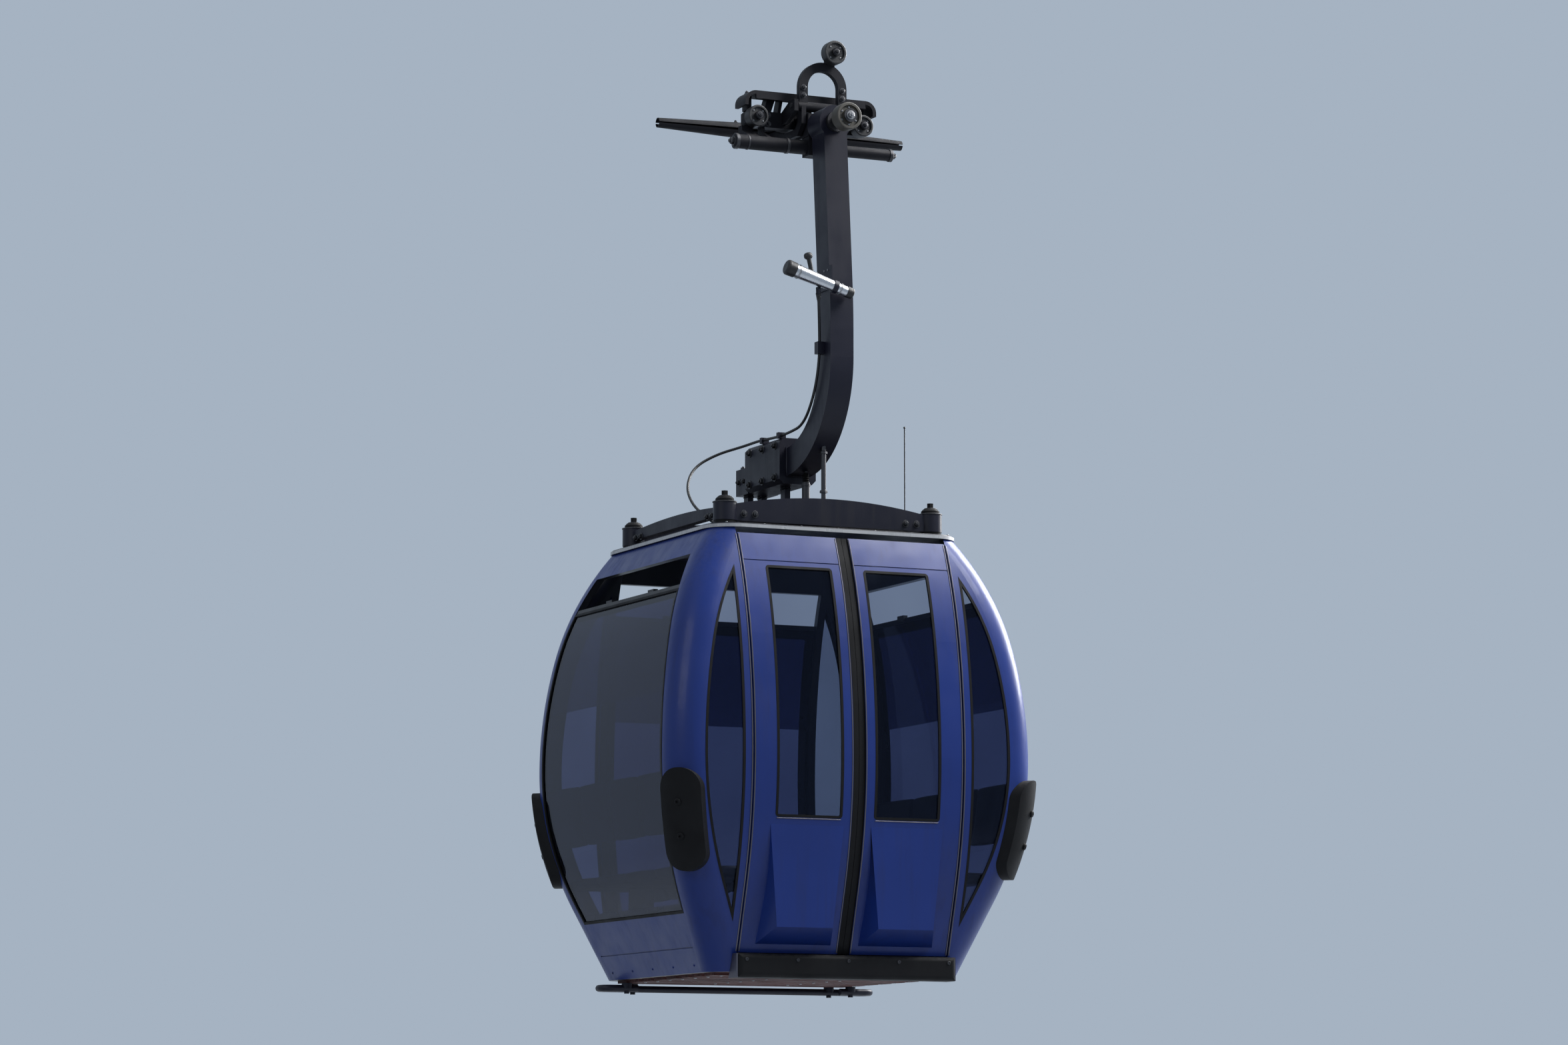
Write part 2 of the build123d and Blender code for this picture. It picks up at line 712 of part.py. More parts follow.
def roof_buffers():
    """Rubber buffers under the four hubs, and their caps and nuts above."""
    seat_top = BODY_TOP + ROOF["thickness"]
    with BuildPart() as buffers:
        for low, high, radius in (
            (seat_top, FRAME_LOW, BUFFER["radius"]),
            (HUB["high"], BUFFER["cap_high"], BUFFER["cap_radius"]),
        ):
            with BuildSketch(Plane.XY.offset(low)):
                with GridLocations(2 * FRAME_HALF, 2 * FRAME_HALF, 2, 2):
                    Circle(radius)
            extrude(amount=high - low)
        caps = buffers.faces().filter_by(Plane.XY).group_by(Axis.Z)[-1]
        chamfer(caps.edges(), 12)
        with BuildSketch(Plane.XY.offset(BUFFER["cap_high"])):
            with GridLocations(2 * FRAME_HALF, 2 * FRAME_HALF, 2, 2):
                RegularPolygon(BUFFER["nut_radius"], 6)
        extrude(amount=BUFFER["nut_high"] - BUFFER["cap_high"])
    return buffers.part


def aerial():
    """Thin whip aerial on the roof."""
    seat_top = BODY_TOP + ROOF["thickness"]
    with BuildPart() as whip:
        with BuildSketch(Plane.XY.offset(seat_top)):
            with Locations((AERIAL["x"], AERIAL["y"])):
                Circle(AERIAL["base_radius"])
        extrude(amount=AERIAL["base_high"])
        with BuildSketch(Plane.XY.offset(seat_top)):
            with Locations((AERIAL["x"], AERIAL["y"])):
                Circle(AERIAL["radius"])
        extrude(amount=AERIAL["high"] - seat_top)
        with Locations((AERIAL["x"], AERIAL["y"], AERIAL["high"])):
            Sphere(2 * AERIAL["radius"])
    return whip.part


hang(roof(), "roof")
hang(roof_frame(), "roof_frame")
hang(roof_buffers(), "roof_buffers")
hang(aerial(), "aerial")


# Hanger

PIVOT_AT = ROPE_HEIGHT - PIVOT_DROP


def arm_path():
    """Centre line of the arm from its head, down past the bend and round the elbow to the foot."""
    with BuildLine(Plane.YZ) as path:
        FilletPolyline(
            (ARM_TOP_Y, PIVOT_AT),
            (ARM_Y, ARM_BEND_AT),
            (ARM_Y, FOOT_AT),
            (FOOT_END, FOOT_AT),
            radius=(ARM_BEND_RADIUS, ELBOW_RADIUS),
        )
    return path.line


def arm_bar(path, width, depth):
    """A bar of rectangular section along the arm's path."""
    start = Plane(origin=path @ 0, x_dir=(1, 0, 0), z_dir=path % 0)
    with BuildPart() as bar:
        with BuildLine():
            add(path)
        with BuildSketch(start):
            Rectangle(width, depth)
        sweep()
    return bar.part


def hanger_arm():
    """Box-section arm with the pivot boss at its head, bored for the grip's pin."""
    path = arm_path()
    wall = ARM["wall"]
    head_plane = Plane.XZ.offset(-ARM_TOP_Y - HEAD["length"] / 2)
    with BuildPart() as arm:
        add(arm_bar(path, ARM["width"], ARM["depth"]))
        add(arm_bar(path, ARM["width"] - 2 * wall, ARM["depth"] - 2 * wall), mode=Mode.SUBTRACT)
        with BuildSketch(head_plane):
            with Locations((0, PIVOT_AT)):
                Circle(HEAD["radius"])
        extrude(amount=HEAD["length"])
        with BuildSketch(head_plane.offset(-5)):
            with Locations((0, PIVOT_AT)):
                Circle(PIN + RUNNING)
        extrude(amount=HEAD["length"] + 10, mode=Mode.SUBTRACT)
        with BuildSketch(Plane.XZ.offset(-FOOT_END)):
            with Locations((0, FOOT_AT)):
                Rectangle(ARM["width"], ARM["depth"])
        extrude(amount=wall)
    return arm.part


def foot_clamp():
    """Clamp block round the arm's foot, with its lower tail and upper lip."""
    with BuildPart() as clamp:
        add(slab((-CLAMP["half"], CLAMP["front"], CLAMP["low"]), (CLAMP["half"], CLAMP["back"], CLAMP["high"])))
        chamfer(clamp.edges().filter_by(Axis.Y), 22)
        low = (-CLAMP_TAIL["half"], CLAMP["back"], CLAMP["low"])
        add(slab(low, (CLAMP_TAIL["half"], CLAMP_TAIL["back"], CLAMP_TAIL["high"])))
        low = (-CLAMP_LIP["half"], CLAMP["back"], CLAMP_LIP["low"])
        add(slab(low, (CLAMP_LIP["half"], CLAMP["back"] + CLAMP_LIP["reach"], CLAMP_LIP["high"])))
        add(arm_bar(arm_path(), ARM["width"] + 2 * FIT, ARM["depth"] + 2 * FIT), mode=Mode.SUBTRACT)
    return clamp.part


def foot_posts():
    """Posts between the roof frame's spine and the foot clamp."""
    with BuildPart() as posts:
        with BuildSketch(Plane.XY.offset(SPINE["high"])):
            with Locations(*POSTS):
                Rectangle(POST["width"], POST["length"])
        extrude(amount=CLAMP["low"] - SPINE["high"])
    return posts.part


def under_arm(y):
    """Height of the elbow's underside above a place along the foot."""
    centre_y = ARM_Y + ELBOW_RADIUS
    outer = ELBOW_RADIUS + ARM["depth"] / 2
    return FOOT_AT + ELBOW_RADIUS - sqrt(outer**2 - (centre_y - y) ** 2)


def suspension_rods():
    """Damper and stay between the roof frame and the elbow."""
    with BuildPart() as rods:
        damper_top = under_arm(DAMPER["y"]) + 6
        for radius, low, high in (
            (DAMPER["radius"], SPINE["high"], damper_top - DAMPER["rod_length"]),
            (DAMPER["rod_radius"], SPINE["high"], damper_top),
        ):
            with BuildSketch(Plane.XY.offset(low)):
                with Locations((0, DAMPER["y"])):
                    Circle(radius)
            extrude(amount=high - low)
        with BuildSketch(Plane.XY.offset(SPINE["high"])):
            with Locations((0, STAY["y"])):
                Circle(STAY["radius"])
        extrude(amount=under_arm(STAY["y"]) + 30 - SPINE["high"])
        add(arm_bar(arm_path(), ARM["width"] + 2 * FIT, ARM["depth"] + 2 * FIT), mode=Mode.SUBTRACT)
        with BuildPart(mode=Mode.PRIVATE) as front_bow:
            add(arched_beam(Plane.XZ.offset(FRAME_HALF), FRAME_HALF, dict(ARCH, low=FRAME_LOW)))
        add(front_bow.part, mode=Mode.SUBTRACT)
    return rods.part


hang(hanger_arm(), "hanger_arm")
hang(foot_clamp(), "foot_clamp")
hang(foot_posts(), "foot_posts")
hang(suspension_rods(), "suspension_rods")


# Tubular unit on the arm, its bracket and its lead

def unit_plane():
    """Plane through the unit's axis, with its own x pointing down the slope."""
    slope = radians(UNIT["slope"])
    place = (UNIT["x"], UNIT["y"], UNIT["height"])
    return Plane(origin=place, x_dir=(cos(slope), 0, -sin(slope)), z_dir=(0, -1, 0))


def unit_radius(along):
    """Radius of the unit's taper at a distance along its axis."""
    share = (along + UNIT["half"]) / (2 * UNIT["half"])
    return UNIT["left_radius"] + share * (UNIT["right_radius"] - UNIT["left_radius"])


def turned(low, high, inner, outer):
    """A tapered ring or plug about the unit's axis, so much outside its surface and down to an inner radius."""
    plane = unit_plane()
    with BuildPart() as ring:
        with BuildSketch(plane):
            with BuildLine():
                Polyline(
                    (low, inner),
                    (low, unit_radius(low) + outer),
                    (high, unit_radius(high) + outer),
                    (high, inner),
                    close=True,
                )
            make_face()
        revolve(axis=Axis(plane.origin, plane.x_dir))
    return ring.part


def unit_caps():
    """End caps of the unit."""
    half = UNIT["half"]
    with BuildPart() as caps:
        add(turned(-half, -half + UNIT_CAPS["left"], 0, UNIT_CAPS["lip"]))
        add(turned(half - UNIT_CAPS["right"], half, 0, UNIT_CAPS["lip"]))
        rims = caps.edges().filter_by(GeomType.CIRCLE).group_by(Axis.X)
        fillet(rims[0], UNIT_CAPS["round"])
        fillet(caps.edges().filter_by(GeomType.CIRCLE).group_by(Axis.X)[-1], UNIT_CAPS["round"] / 2)
    return caps.part


def lead():
    """The lead as one tube of straight runs and tangent bends."""
    points = [Vector(*corner) for corner in LEAD_ROUTE]
    radii = []
    for before, at, after in zip(points, points[1:], points[2:]):
        turn = radians((at - before).get_angle(after - at))
        radii.append(0.45 * min((at - before).length, (after - at).length) / tan(turn / 2))
    print("Radii of the lead's bends in mm:", [round(radius) for radius in radii])
    with BuildPart() as tube:
        with BuildLine() as path:
            FilletPolyline(*points, radius=radii)
        with BuildSketch(Plane(origin=path.line @ 0, z_dir=path.line % 0)):
            Circle(LEAD_RADIUS)
        sweep()
    return tube.part, path.line


def sleeve(line):
    """Room for the lead inside its clips."""
    with BuildPart() as room:
        with BuildLine():
            add(line)
        with BuildSketch(Plane(origin=line @ 0, z_dir=line % 0)):
            Circle(LEAD_RADIUS + FIT)
        sweep()
    return room.part


def gland(plane, length):
    """A short round boss that the lead enters."""
    with BuildPart() as boss:
        with BuildSketch(plane):
            Circle(GLAND["radius"])
        extrude(amount=length)
    return boss.part


def unit_bracket(line):
    """Collar round the unit, its plate on the arm, the clips that hold the lead and the gland it leaves by."""
    side = -ARM["width"] / 2 - FIT
    plate_low = (side - BRACKET["thickness"], UNIT["y"] + 20, BRACKET["low"])
    clip_y = ARM_Y + 16
    with BuildPart() as bracket:
        add(turned(COLLAR["at"] - COLLAR["width"] / 2, COLLAR["at"] + COLLAR["width"] / 2, 0, COLLAR["thickness"]))
        add(slab(plate_low, (side, BRACKET["back"], BRACKET["high"])))
        start = line @ 0
        way = line % 0
        add(gland(Plane(origin=start, z_dir=-way), GLAND["length"] + 14))
        add(turned(-UNIT["half"], UNIT["half"], 0, FIT), mode=Mode.SUBTRACT)
    with BuildPart() as clips:
        low = (ARM_CLIP["far"], clip_y - ARM_CLIP["half"], ARM_CLIP["low"])
        add(slab(low, (side, clip_y + ARM_CLIP["half"], ARM_CLIP["high"])))
        for y in CLAMP_CLIPS:
            low = (-CLAMP["half"] + 4, y - 12, CLAMP["high"])
            add(slab(low, (-54, y + 12, CLAMP["high"] + 30)))
        add(sleeve(line), mode=Mode.SUBTRACT)
        add(arm_bar(arm_path(), ARM["width"] + 2 * FIT, ARM["depth"] + 2 * FIT), mode=Mode.SUBTRACT)
    return joined([bracket.part, clips.part])


def junction(line):
    """Box on the roof where the lead goes in."""
    x, y, z = LEAD_ROUTE[-1]
    roof_top = BODY_TOP + ROOF["thickness"] + ROOF["crown"]
    back = y - GLAND["length"]
    with BuildPart() as box:
        low = (x - JUNCTION["width"] / 2, JUNCTION["front"], roof_top)
        add(slab(low, (x + JUNCTION["width"] / 2, back, JUNCTION["high"])))
        fillet(box.edges().filter_by(Axis.Z), 8)
        add(gland(Plane(origin=line @ 1, z_dir=line % 1), GLAND["length"] + 2))
    return box.part


lead_tube, lead_line = lead()
hang(turned(-UNIT["half"] + UNIT_CAPS["left"], UNIT["half"] - UNIT_CAPS["right"], 0, 0), "unit_tube")
hang(unit_caps(), "unit_caps")
hang(unit_bracket(lead_line), "unit_bracket")
hang(junction(lead_line), "junction_box")
hang(lead_tube, "lead")


# Grip: fixed parts, drawn in the rope's own frame

def jaw(upper):
    """One jaw's section across the rope, drawn along the rope."""
    if upper:
        root = [(-46, PARTING), (-60, -10), (BEAM["back"], -10), (BEAM["back"], 50)]
        nose = [(22, 50), (46, 26), (46, PARTING)]
    else:
        root = [(-45, -PARTING), (-45, -50)]
        nose = [(22, -50), (46, -26), (46, -PARTING)]
    with BuildPart() as block:
        with BuildSketch(Plane.YZ):
            with BuildLine():
                Polyline(*root, *nose, close=True)
            make_face()
            Circle(ROPE, mode=Mode.SUBTRACT)
        extrude(amount=JAW_HALF, both=True)
    return block.part


def tongue(upper, side):
    """Tapered half sleeve that leads the rope into the jaws."""
    start = JAW_HALF + FIT
    bore = ROPE + 0.5
    turn = degrees(asin(PARTING / bore)) + 1
    with BuildPart() as sleeve:
        with BuildSketch(Plane.XY):
            with BuildLine():
                Polyline(
                    (side * start, bore),
                    (side * start, TONGUE_ROOT),
                    (side * TONGUE_END, TONGUE_TIP),
                    (side * TONGUE_END, bore),
                    close=True,
                )
            make_face()
        revolve(axis=Axis.X, revolution_arc=180 - 2 * turn)
    return sleeve.part.rotate(Axis.X, turn if upper else 180 + turn)


def grip_body():
    """Cast beam, pivot housing, hinge lugs and roller axles of the grip."""
    with BuildPart() as body:
        low = (-BEAM["half"], BEAM["front"], -BEAM["high"])
        add(slab(low, (BEAM["half"], BEAM["back"], BEAM["high"])))
        chamfer(body.edges().filter_by(Axis.Y), 14)
        low = (-HOUSING["half"], HOUSING["front"], HOUSING["low"])
        add(slab(low, (HOUSING["half"], BEAM["front"] + 20, HOUSING["high"])))
        for start in (BARREL["low"] - LUG - 6, BARREL["high"] + 6):
            with BuildSketch(Plane.YZ.offset(start)):
                with BuildLine():
                    Polyline(
                        (LEVER_Y - 30, LEVER_Z - 30),
                        (LEVER_Y - 30, LEVER_Z + 28),
                        (LEVER_Y + 30, LEVER_Z + 28),
                        (BEAM["front"] + 10, BEAM["high"]),
                        (BEAM["front"] + 10, -20),
                        (BEAM["front"] - 40, -20),
                        close=True,
                    )
                make_face()
                with Locations((LEVER_Y, LEVER_Z)):
                    Circle(BARREL["pin"] + RUNNING, mode=Mode.SUBTRACT)
            extrude(amount=LUG)
        for x in (-INNER_ROLLER["x"], INNER_ROLLER["x"]):
            with BuildSketch(Plane.XZ.offset(-BEAM["front"])):
                with Locations((x, 0)):
                    Circle(ROLLER_PIN)
            extrude(amount=BEAM["front"] - INNER_ROLLER["near"] + 8)
            with BuildSketch(Plane.XZ.offset(-INNER_ROLLER["near"] + 4)):
                with Locations((x, 0)):
                    Circle(ROLLER_PIN + 10)
            extrude(amount=10)
    return body.part


def running_plate():
    """Friction plate on top of the grip with turned-down ends and front lip, on its row of ribs."""
    top = PLATE["low"] + PLATE["thickness"]
    half = PLATE["half"]
    ends = PLATE["low"] - PLATE["drop"]
    with BuildPart() as plate:
        with BuildSketch(Plane.XZ.offset(-PLATE["back"])):
            with BuildLine():
                FilletPolyline((-half, ends), (-half, top), (half, top), (half, ends), radius=PLATE["bend"])
                inner = half - PLATE["thickness"]
                bend = PLATE["bend"] - PLATE["thickness"]
                FilletPolyline(
                    (-inner, ends), (-inner, PLATE["low"]), (inner, PLATE["low"]), (inner, ends), radius=bend
                )
                Line((-half, ends), (-inner, ends))
                Line((half, ends), (inner, ends))
            make_face()
        extrude(amount=PLATE["back"] - PLATE["front"])
        lip_low = (-half + PLATE["bend"], PLATE["front"], PLATE["low"] - PLATE["lip"])
        add(slab(lip_low, (half - PLATE["bend"], PLATE["front"] + PLATE["lip_depth"], PLATE["low"] + 2)))
        for foot, head, width in PLATE_RIBS:
            with BuildSketch(Plane.XZ.offset(-BEAM["back"])):
                with BuildLine():
                    Polyline(
                        (foot - width / 2, BEAM["high"]),
                        (head - width / 2, PLATE["low"] + 2),
                        (head + width / 2, PLATE["low"] + 2),
                        (foot + width / 2, BEAM["high"]),
                        close=True,
                    )
                make_face()
            extrude(amount=BEAM["back"] - BEAM["front"])
    return plate.part


def torsion_bars():
    """Spring tubes below the grip, each side of their middle block, with the left one's brackets."""
    with BuildPart() as bars:
        low = (-TORSION["half"], TORSION["y"] - 40, TORSION["z"] - 45)
        add(slab(low, (TORSION["half"], TORSION["y"] + 40, HOUSING["low"])))
        for end, radius in (TORSION["left"], TORSION["right"]):
            with BuildSketch(Plane.YZ):
                with Locations((TORSION["y"], TORSION["z"])):
                    Circle(radius)
            extrude(amount=end)
        tips = bars.faces().filter_by(Plane.YZ)
        chamfer(tips.sort_by(Axis.X)[0].edges(), 8)
        chamfer(tips.sort_by(Axis.X)[-1].edges(), 8)
        underside = -BEAM["high"]
        below = -INNER_ROLLER["radius"] - 12
        for x, width in TORSION_BRACKETS:
            with BuildSketch(Plane.YZ.offset(x - width / 2)):
                with BuildLine():
                    Polyline(
                        (BEAM["back"] - 8, underside),
                        (BEAM["front"] + 8, underside),
                        (BEAM["front"] + 4, below),
                        (TORSION["y"], TORSION["z"] + 26),
                        (TORSION["y"], TORSION["z"]),
                        (BEAM["front"] + 10, below - 46),
                        (BEAM["back"] - 8, below - 20),
                        close=True,
                    )
                make_face()
            extrude(amount=width)
    return bars.part


def pivot_pin():
    """Stepped pin that carries the hanger between its collars, and the outer roller beyond."""
    head_near = ARM_TOP_Y - HEAD["length"] / 2
    head_far = ARM_TOP_Y + HEAD["length"] / 2
    # Columns: far end, near end and radius of each step along the pin.
    steps = (
        (HOUSING["front"], head_far + 2, 60),
        (head_far + 2, head_near - 2, PIN),
        (head_near - 2, head_near - 22, 52),
        (head_near - 22, OUTER_ROLLER["far"] + 3, 30),
        (OUTER_ROLLER["far"] + 3, OUTER_ROLLER["near"] - 3, OUTER_ROLLER["seat"]),
        (OUTER_ROLLER["near"] - 3, OUTER_ROLLER["near"] - 11, 34),
    )
    with BuildPart() as pin:
        for far, near, radius in steps:
            with BuildSketch(Plane.XZ.offset(-far)):
                with Locations((0, -PIVOT_DROP)):
                    Circle(radius)
            extrude(amount=far - near)
    return pin.part


def lever_pin():
    """Hinge pin of the clamping lever."""
    with BuildPart() as pin:
        start = BARREL["low"] - LUG - 14
        with BuildSketch(Plane.YZ.offset(start)):
            with Locations((LEVER_Y, LEVER_Z)):
                Circle(BARREL["pin"])
        extrude(amount=BARREL["high"] + LUG + 14 - start)
    return pin.part


save(grip_body(), "grip_body")
save(jaw(True), "fixed_jaw")
save(joined([tongue(True, -1), tongue(True, 1)]), "upper_tongues")
save(running_plate(), "running_plate")
save(torsion_bars(), "torsion_bars")
save(pivot_pin(), "pivot_pin")
save(lever_pin(), "lever_pin")


# Grip: moving parts

def clamp_lever():
    """Hinge barrel with the arch above it and the two plates that reach under the grip to the moving jaw."""
    arch = LEVER_ARCH
    middle_radius = (arch["outer"] + arch["inner"]) / 2
    leg = (arch["outer"] - arch["inner"]) / 2
    with BuildPart() as lever:
        with BuildSketch(Plane.YZ.offset(BARREL["low"])):
            with Locations((LEVER_Y, LEVER_Z)):
                Circle(BARREL["radius"])
        extrude(amount=BARREL["high"] - BARREL["low"])
        with BuildSketch(Plane.XZ.offset(-LEVER_Y)):
            with Locations((arch["centre"], arch["height"])):
                Circle(arch["outer"])
                Circle(arch["inner"], mode=Mode.SUBTRACT)
            with Locations((arch["centre"], arch["height"] - arch["outer"])):
                Rectangle(2 * arch["outer"] + 2, 2 * arch["outer"], mode=Mode.SUBTRACT)
            leg_height = arch["height"] - LEVER_Z
            with Locations((arch["centre"] - middle_radius, LEVER_Z), (arch["centre"] + middle_radius, LEVER_Z)):
                Rectangle(2 * leg, leg_height, align=(Align.CENTER, Align.MIN))
            with Locations((LEVER_ROLLER["x"], arch["height"] + arch["inner"])):
                Rectangle(44, LEVER_ROLLER["z"] + 20 - arch["height"] - arch["inner"], align=(Align.CENTER, Align.MIN))
        extrude(amount=arch["half"], both=True)
        for start, end in ARM_PLATES:
            with BuildSketch(Plane.YZ.offset(start)):
                with BuildLine():
                    Polyline(
                        (-45, -50),
                        (-45, -16),
                        (-120, -18),
                        (-230, -52),
                        (-365, -52),
                        (LEVER_Y + 28, -24),
                        (LEVER_Y + 28, LEVER_Z),
                        (LEVER_Y - 25, LEVER_Z),
                        (LEVER_Y - 25, -36),
                        (-388, -90),
                        (-85, -90),
                        close=True,
                    )
                make_face()
            extrude(amount=end - start)
        with BuildSketch(Plane.YZ.offset(BARREL["low"] - 1)):
            with Locations((LEVER_Y, LEVER_Z)):
                Circle(BARREL["pin"] + RUNNING)
        extrude(amount=BARREL["high"] - BARREL["low"] + 2, mode=Mode.SUBTRACT)
        near = LEVER_ROLLER["near"] - 4
        with BuildSketch(Plane.XZ.offset(-LEVER_Y + arch["half"])):
            with Locations((LEVER_ROLLER["x"], LEVER_ROLLER["z"])):
                Circle(ROLLER_PIN)
        extrude(amount=LEVER_Y - arch["half"] - near)
        with BuildSketch(Plane.XZ.offset(-near)):
            with Locations((LEVER_ROLLER["x"], LEVER_ROLLER["z"])):
                Circle(ROLLER_PIN + 10)
        extrude(amount=9)
    return lever.part


def roller(wheel, x, z, bore):
    """A wheel with a rounded tread, a recessed web on each face and a bore with running clearance."""
    radius = wheel["radius"]
    width = wheel["far"] - wheel["near"]
    middle = (wheel["far"] + wheel["near"]) / 2
    rim = 0.78 * radius
    hub = bore + 9
    recess = 0.16 * width
    axle = Plane(origin=(x, middle, z), x_dir=(1, 0, 0), z_dir=(0, -1, 0))
    with BuildPart() as wheel_part:
        with BuildSketch(axle):
            Circle(radius)
            Circle(bore + RUNNING, mode=Mode.SUBTRACT)
        extrude(amount=width / 2, both=True)
        rims = [edge for edge in wheel_part.edges().filter_by(GeomType.CIRCLE) if edge.radius > radius - 1]
        fillet(rims, 6)
        for face in (axle.offset(width / 2), axle.offset(-width / 2 + recess)):
            with BuildSketch(face):
                Circle(rim)
                Circle(hub, mode=Mode.SUBTRACT)
            extrude(amount=-recess, mode=Mode.SUBTRACT)
    return wheel_part.part


save(clamp_lever(), "clamp_lever")
save(jaw(False), "moving_jaw")
save(joined([tongue(False, -1), tongue(False, 1)]), "lower_tongues")
save(roller(LEVER_ROLLER, LEVER_ROLLER["x"], LEVER_ROLLER["z"], ROLLER_PIN), "lever_roller")
save(roller(OUTER_ROLLER, 0, -PIVOT_DROP, OUTER_ROLLER["seat"]), "outer_roller")
save(roller(INNER_ROLLER, -INNER_ROLLER["x"], 0, ROLLER_PIN), "inner_roller_left")
save(roller(INNER_ROLLER, INNER_ROLLER["x"], 0, ROLLER_PIN), "inner_roller_right")
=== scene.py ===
import functools
import itertools
import json
import math

import bmesh
import bpy
from mathutils import Matrix, Vector
from mathutils.bvhtree import BVHTree

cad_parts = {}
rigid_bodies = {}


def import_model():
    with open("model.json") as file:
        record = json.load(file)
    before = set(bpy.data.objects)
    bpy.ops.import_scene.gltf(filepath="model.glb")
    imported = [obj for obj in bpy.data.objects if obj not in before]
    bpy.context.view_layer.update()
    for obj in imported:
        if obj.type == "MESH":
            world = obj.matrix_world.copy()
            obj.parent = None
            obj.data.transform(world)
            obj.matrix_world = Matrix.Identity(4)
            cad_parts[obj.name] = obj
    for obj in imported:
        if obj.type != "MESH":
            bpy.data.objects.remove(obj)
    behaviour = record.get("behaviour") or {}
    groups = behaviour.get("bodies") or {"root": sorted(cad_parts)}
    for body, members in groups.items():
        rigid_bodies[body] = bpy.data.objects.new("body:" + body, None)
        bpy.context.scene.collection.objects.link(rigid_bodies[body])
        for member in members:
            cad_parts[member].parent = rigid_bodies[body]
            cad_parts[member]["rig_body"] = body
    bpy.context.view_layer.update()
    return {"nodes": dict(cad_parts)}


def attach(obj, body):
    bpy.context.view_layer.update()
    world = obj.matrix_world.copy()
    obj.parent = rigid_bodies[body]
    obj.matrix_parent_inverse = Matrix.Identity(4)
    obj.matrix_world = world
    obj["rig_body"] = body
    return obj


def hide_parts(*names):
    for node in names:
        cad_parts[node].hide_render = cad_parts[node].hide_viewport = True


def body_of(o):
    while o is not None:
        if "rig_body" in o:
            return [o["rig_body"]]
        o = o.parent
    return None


bl_info = {
    "name": "Cable Car Cabin",
    "version": (1, 0, 0),
    "blender": (4, 5, 0),
    "location": "View3D > Sidebar > Cabin",
    "description": "Dresses a packed cable car cabin with its hanger and rope grip",
    "category": "Object",
}

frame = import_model()

# How far the rope runs above the cabin's underside
ROPE_HEIGHT = 4.27


def place(x, y, height):
    """A point given above the cabin's underside, in the rope's frame."""
    return Vector((x, y, height - ROPE_HEIGHT))


# Sizes and colours

def colour(name, description, value):
    """A setting that holds a colour."""
    return bpy.props.FloatVectorProperty(
        name=name, description=description, subtype="COLOR", size=4, default=(*value, 1), min=0, max=1)


def length(name, description, value, low, high):
    """A setting that holds a length in metres."""
    return bpy.props.FloatProperty(
        name=name, description=description, subtype="DISTANCE", unit="LENGTH", default=value, min=low, max=high)


class CabinLooks(bpy.types.PropertyGroup):
    """Sizes and colours of the cabin's dressing."""

    paint_colour: colour("Cabin paint", "Colour of the body and door panels", (0.011, 0.036, 0.225))
    # The hanger's colour is its own dark navy paint, darkened further as painted shade
    frame_colour: colour(
        "Hanger paint", "Colour of the hanger, roof frame and guide rail", (0.01, 0.0105, 0.022))
    casting_colour: colour("Grip castings", "Colour of the grip's castings", (0.01, 0.01, 0.014))
    glass_colour: colour("Glass tint", "Light that passes an end, rear or drop pane", (0.13, 0.15, 0.28))
    door_glass_colour: colour(
        "Door glass tint", "Light that passes a door pane or a corner pane", (0.35, 0.39, 0.49))
    rubber_colour: colour("Rubber", "Colour of seals, buffers and bumpers", (0.006, 0.006, 0.007))
    board_colour: colour("Floor boards", "Colour of the boards under the cabin", (0.11, 0.052, 0.05))
    gasket_width: length("Gasket width", "Width of the rubber round each pane", 0.013, 0.004, 0.03)
    gasket_height: length("Gasket height", "How far the rubber stands off the pane", 0.007, 0.002, 0.02)
    border_width: length(
        "Border width", "Width of the black border inside the end and rear panes", 0.048, 0.01, 0.1)
    moulding_width: length(
        "Edge moulding width", "Width of the metal moulding along each door leaf", 0.0065, 0.004, 0.02)
    lead_diameter: length(
        "Lead diameter", "Thickness of the lead from the unit to the roof", 0.014, 0.006, 0.02)
    floor_drop: length("Floor drop", "Distance from the rope down to the studio floor", 5.5, 4.5, 12)


def looks():
    """The sizes and colours in use."""
    return bpy.context.scene.cabin_looks


# Shader nodes

def feed(tree, made, inputs):
    """Feeds inputs of a node, each from another node's output or with a constant."""
    for name, value in inputs.items():
        if isinstance(value, bpy.types.NodeSocket):
            tree.links.new(value, made.inputs[name])
        else:
            made.inputs[name].default_value = value


def node(tree, kind, inputs=None, **settings):
    """Adds a node, sets its properties and feeds its inputs."""
    made = tree.nodes.new(kind)
    for name, value in settings.items():
        setattr(made, name, value)
    feed(tree, made, inputs or {})
    return made


def place_on(tree):
    """Coordinates of the shaded point on its own object."""
    return node(tree, "ShaderNodeTexCoord").outputs["Object"]


def noise(tree, coordinates, scale, detail=4.0, roughness=0.55):
    """Noise on the given coordinates."""
    return node(tree, "ShaderNodeTexNoise", {
        "Vector": coordinates, "Scale": scale, "Detail": detail, "Roughness": roughness}).outputs["Fac"]


def spread(tree, value, low, high, out_low=0.0, out_high=1.0):
    """Maps a value from one range to another, clamped."""
    return node(tree, "ShaderNodeMapRange", {
        "Value": value, "From Min": low, "From Max": high,
        "To Min": out_low, "To Max": out_high}).outputs["Result"]


def maths(tree, operation, *values, clamp=False):
    """The result of a maths node; each value is an output or a number."""
    made = node(tree, "ShaderNodeMath", dict(enumerate(values)), operation=operation, use_clamp=clamp)
    return made.outputs[0]


def product(tree, first, *others):
    """Multiplies values; each is an output or a number."""
    for other in others:
        first = maths(tree, "MULTIPLY", first, other)
    return first


def blend(tree, factor, first, second):
    """Mixes two colours."""
    return node(tree, "ShaderNodeMix", {"Factor": factor, "A": first, "B": second},
                data_type="RGBA").outputs["Result"]


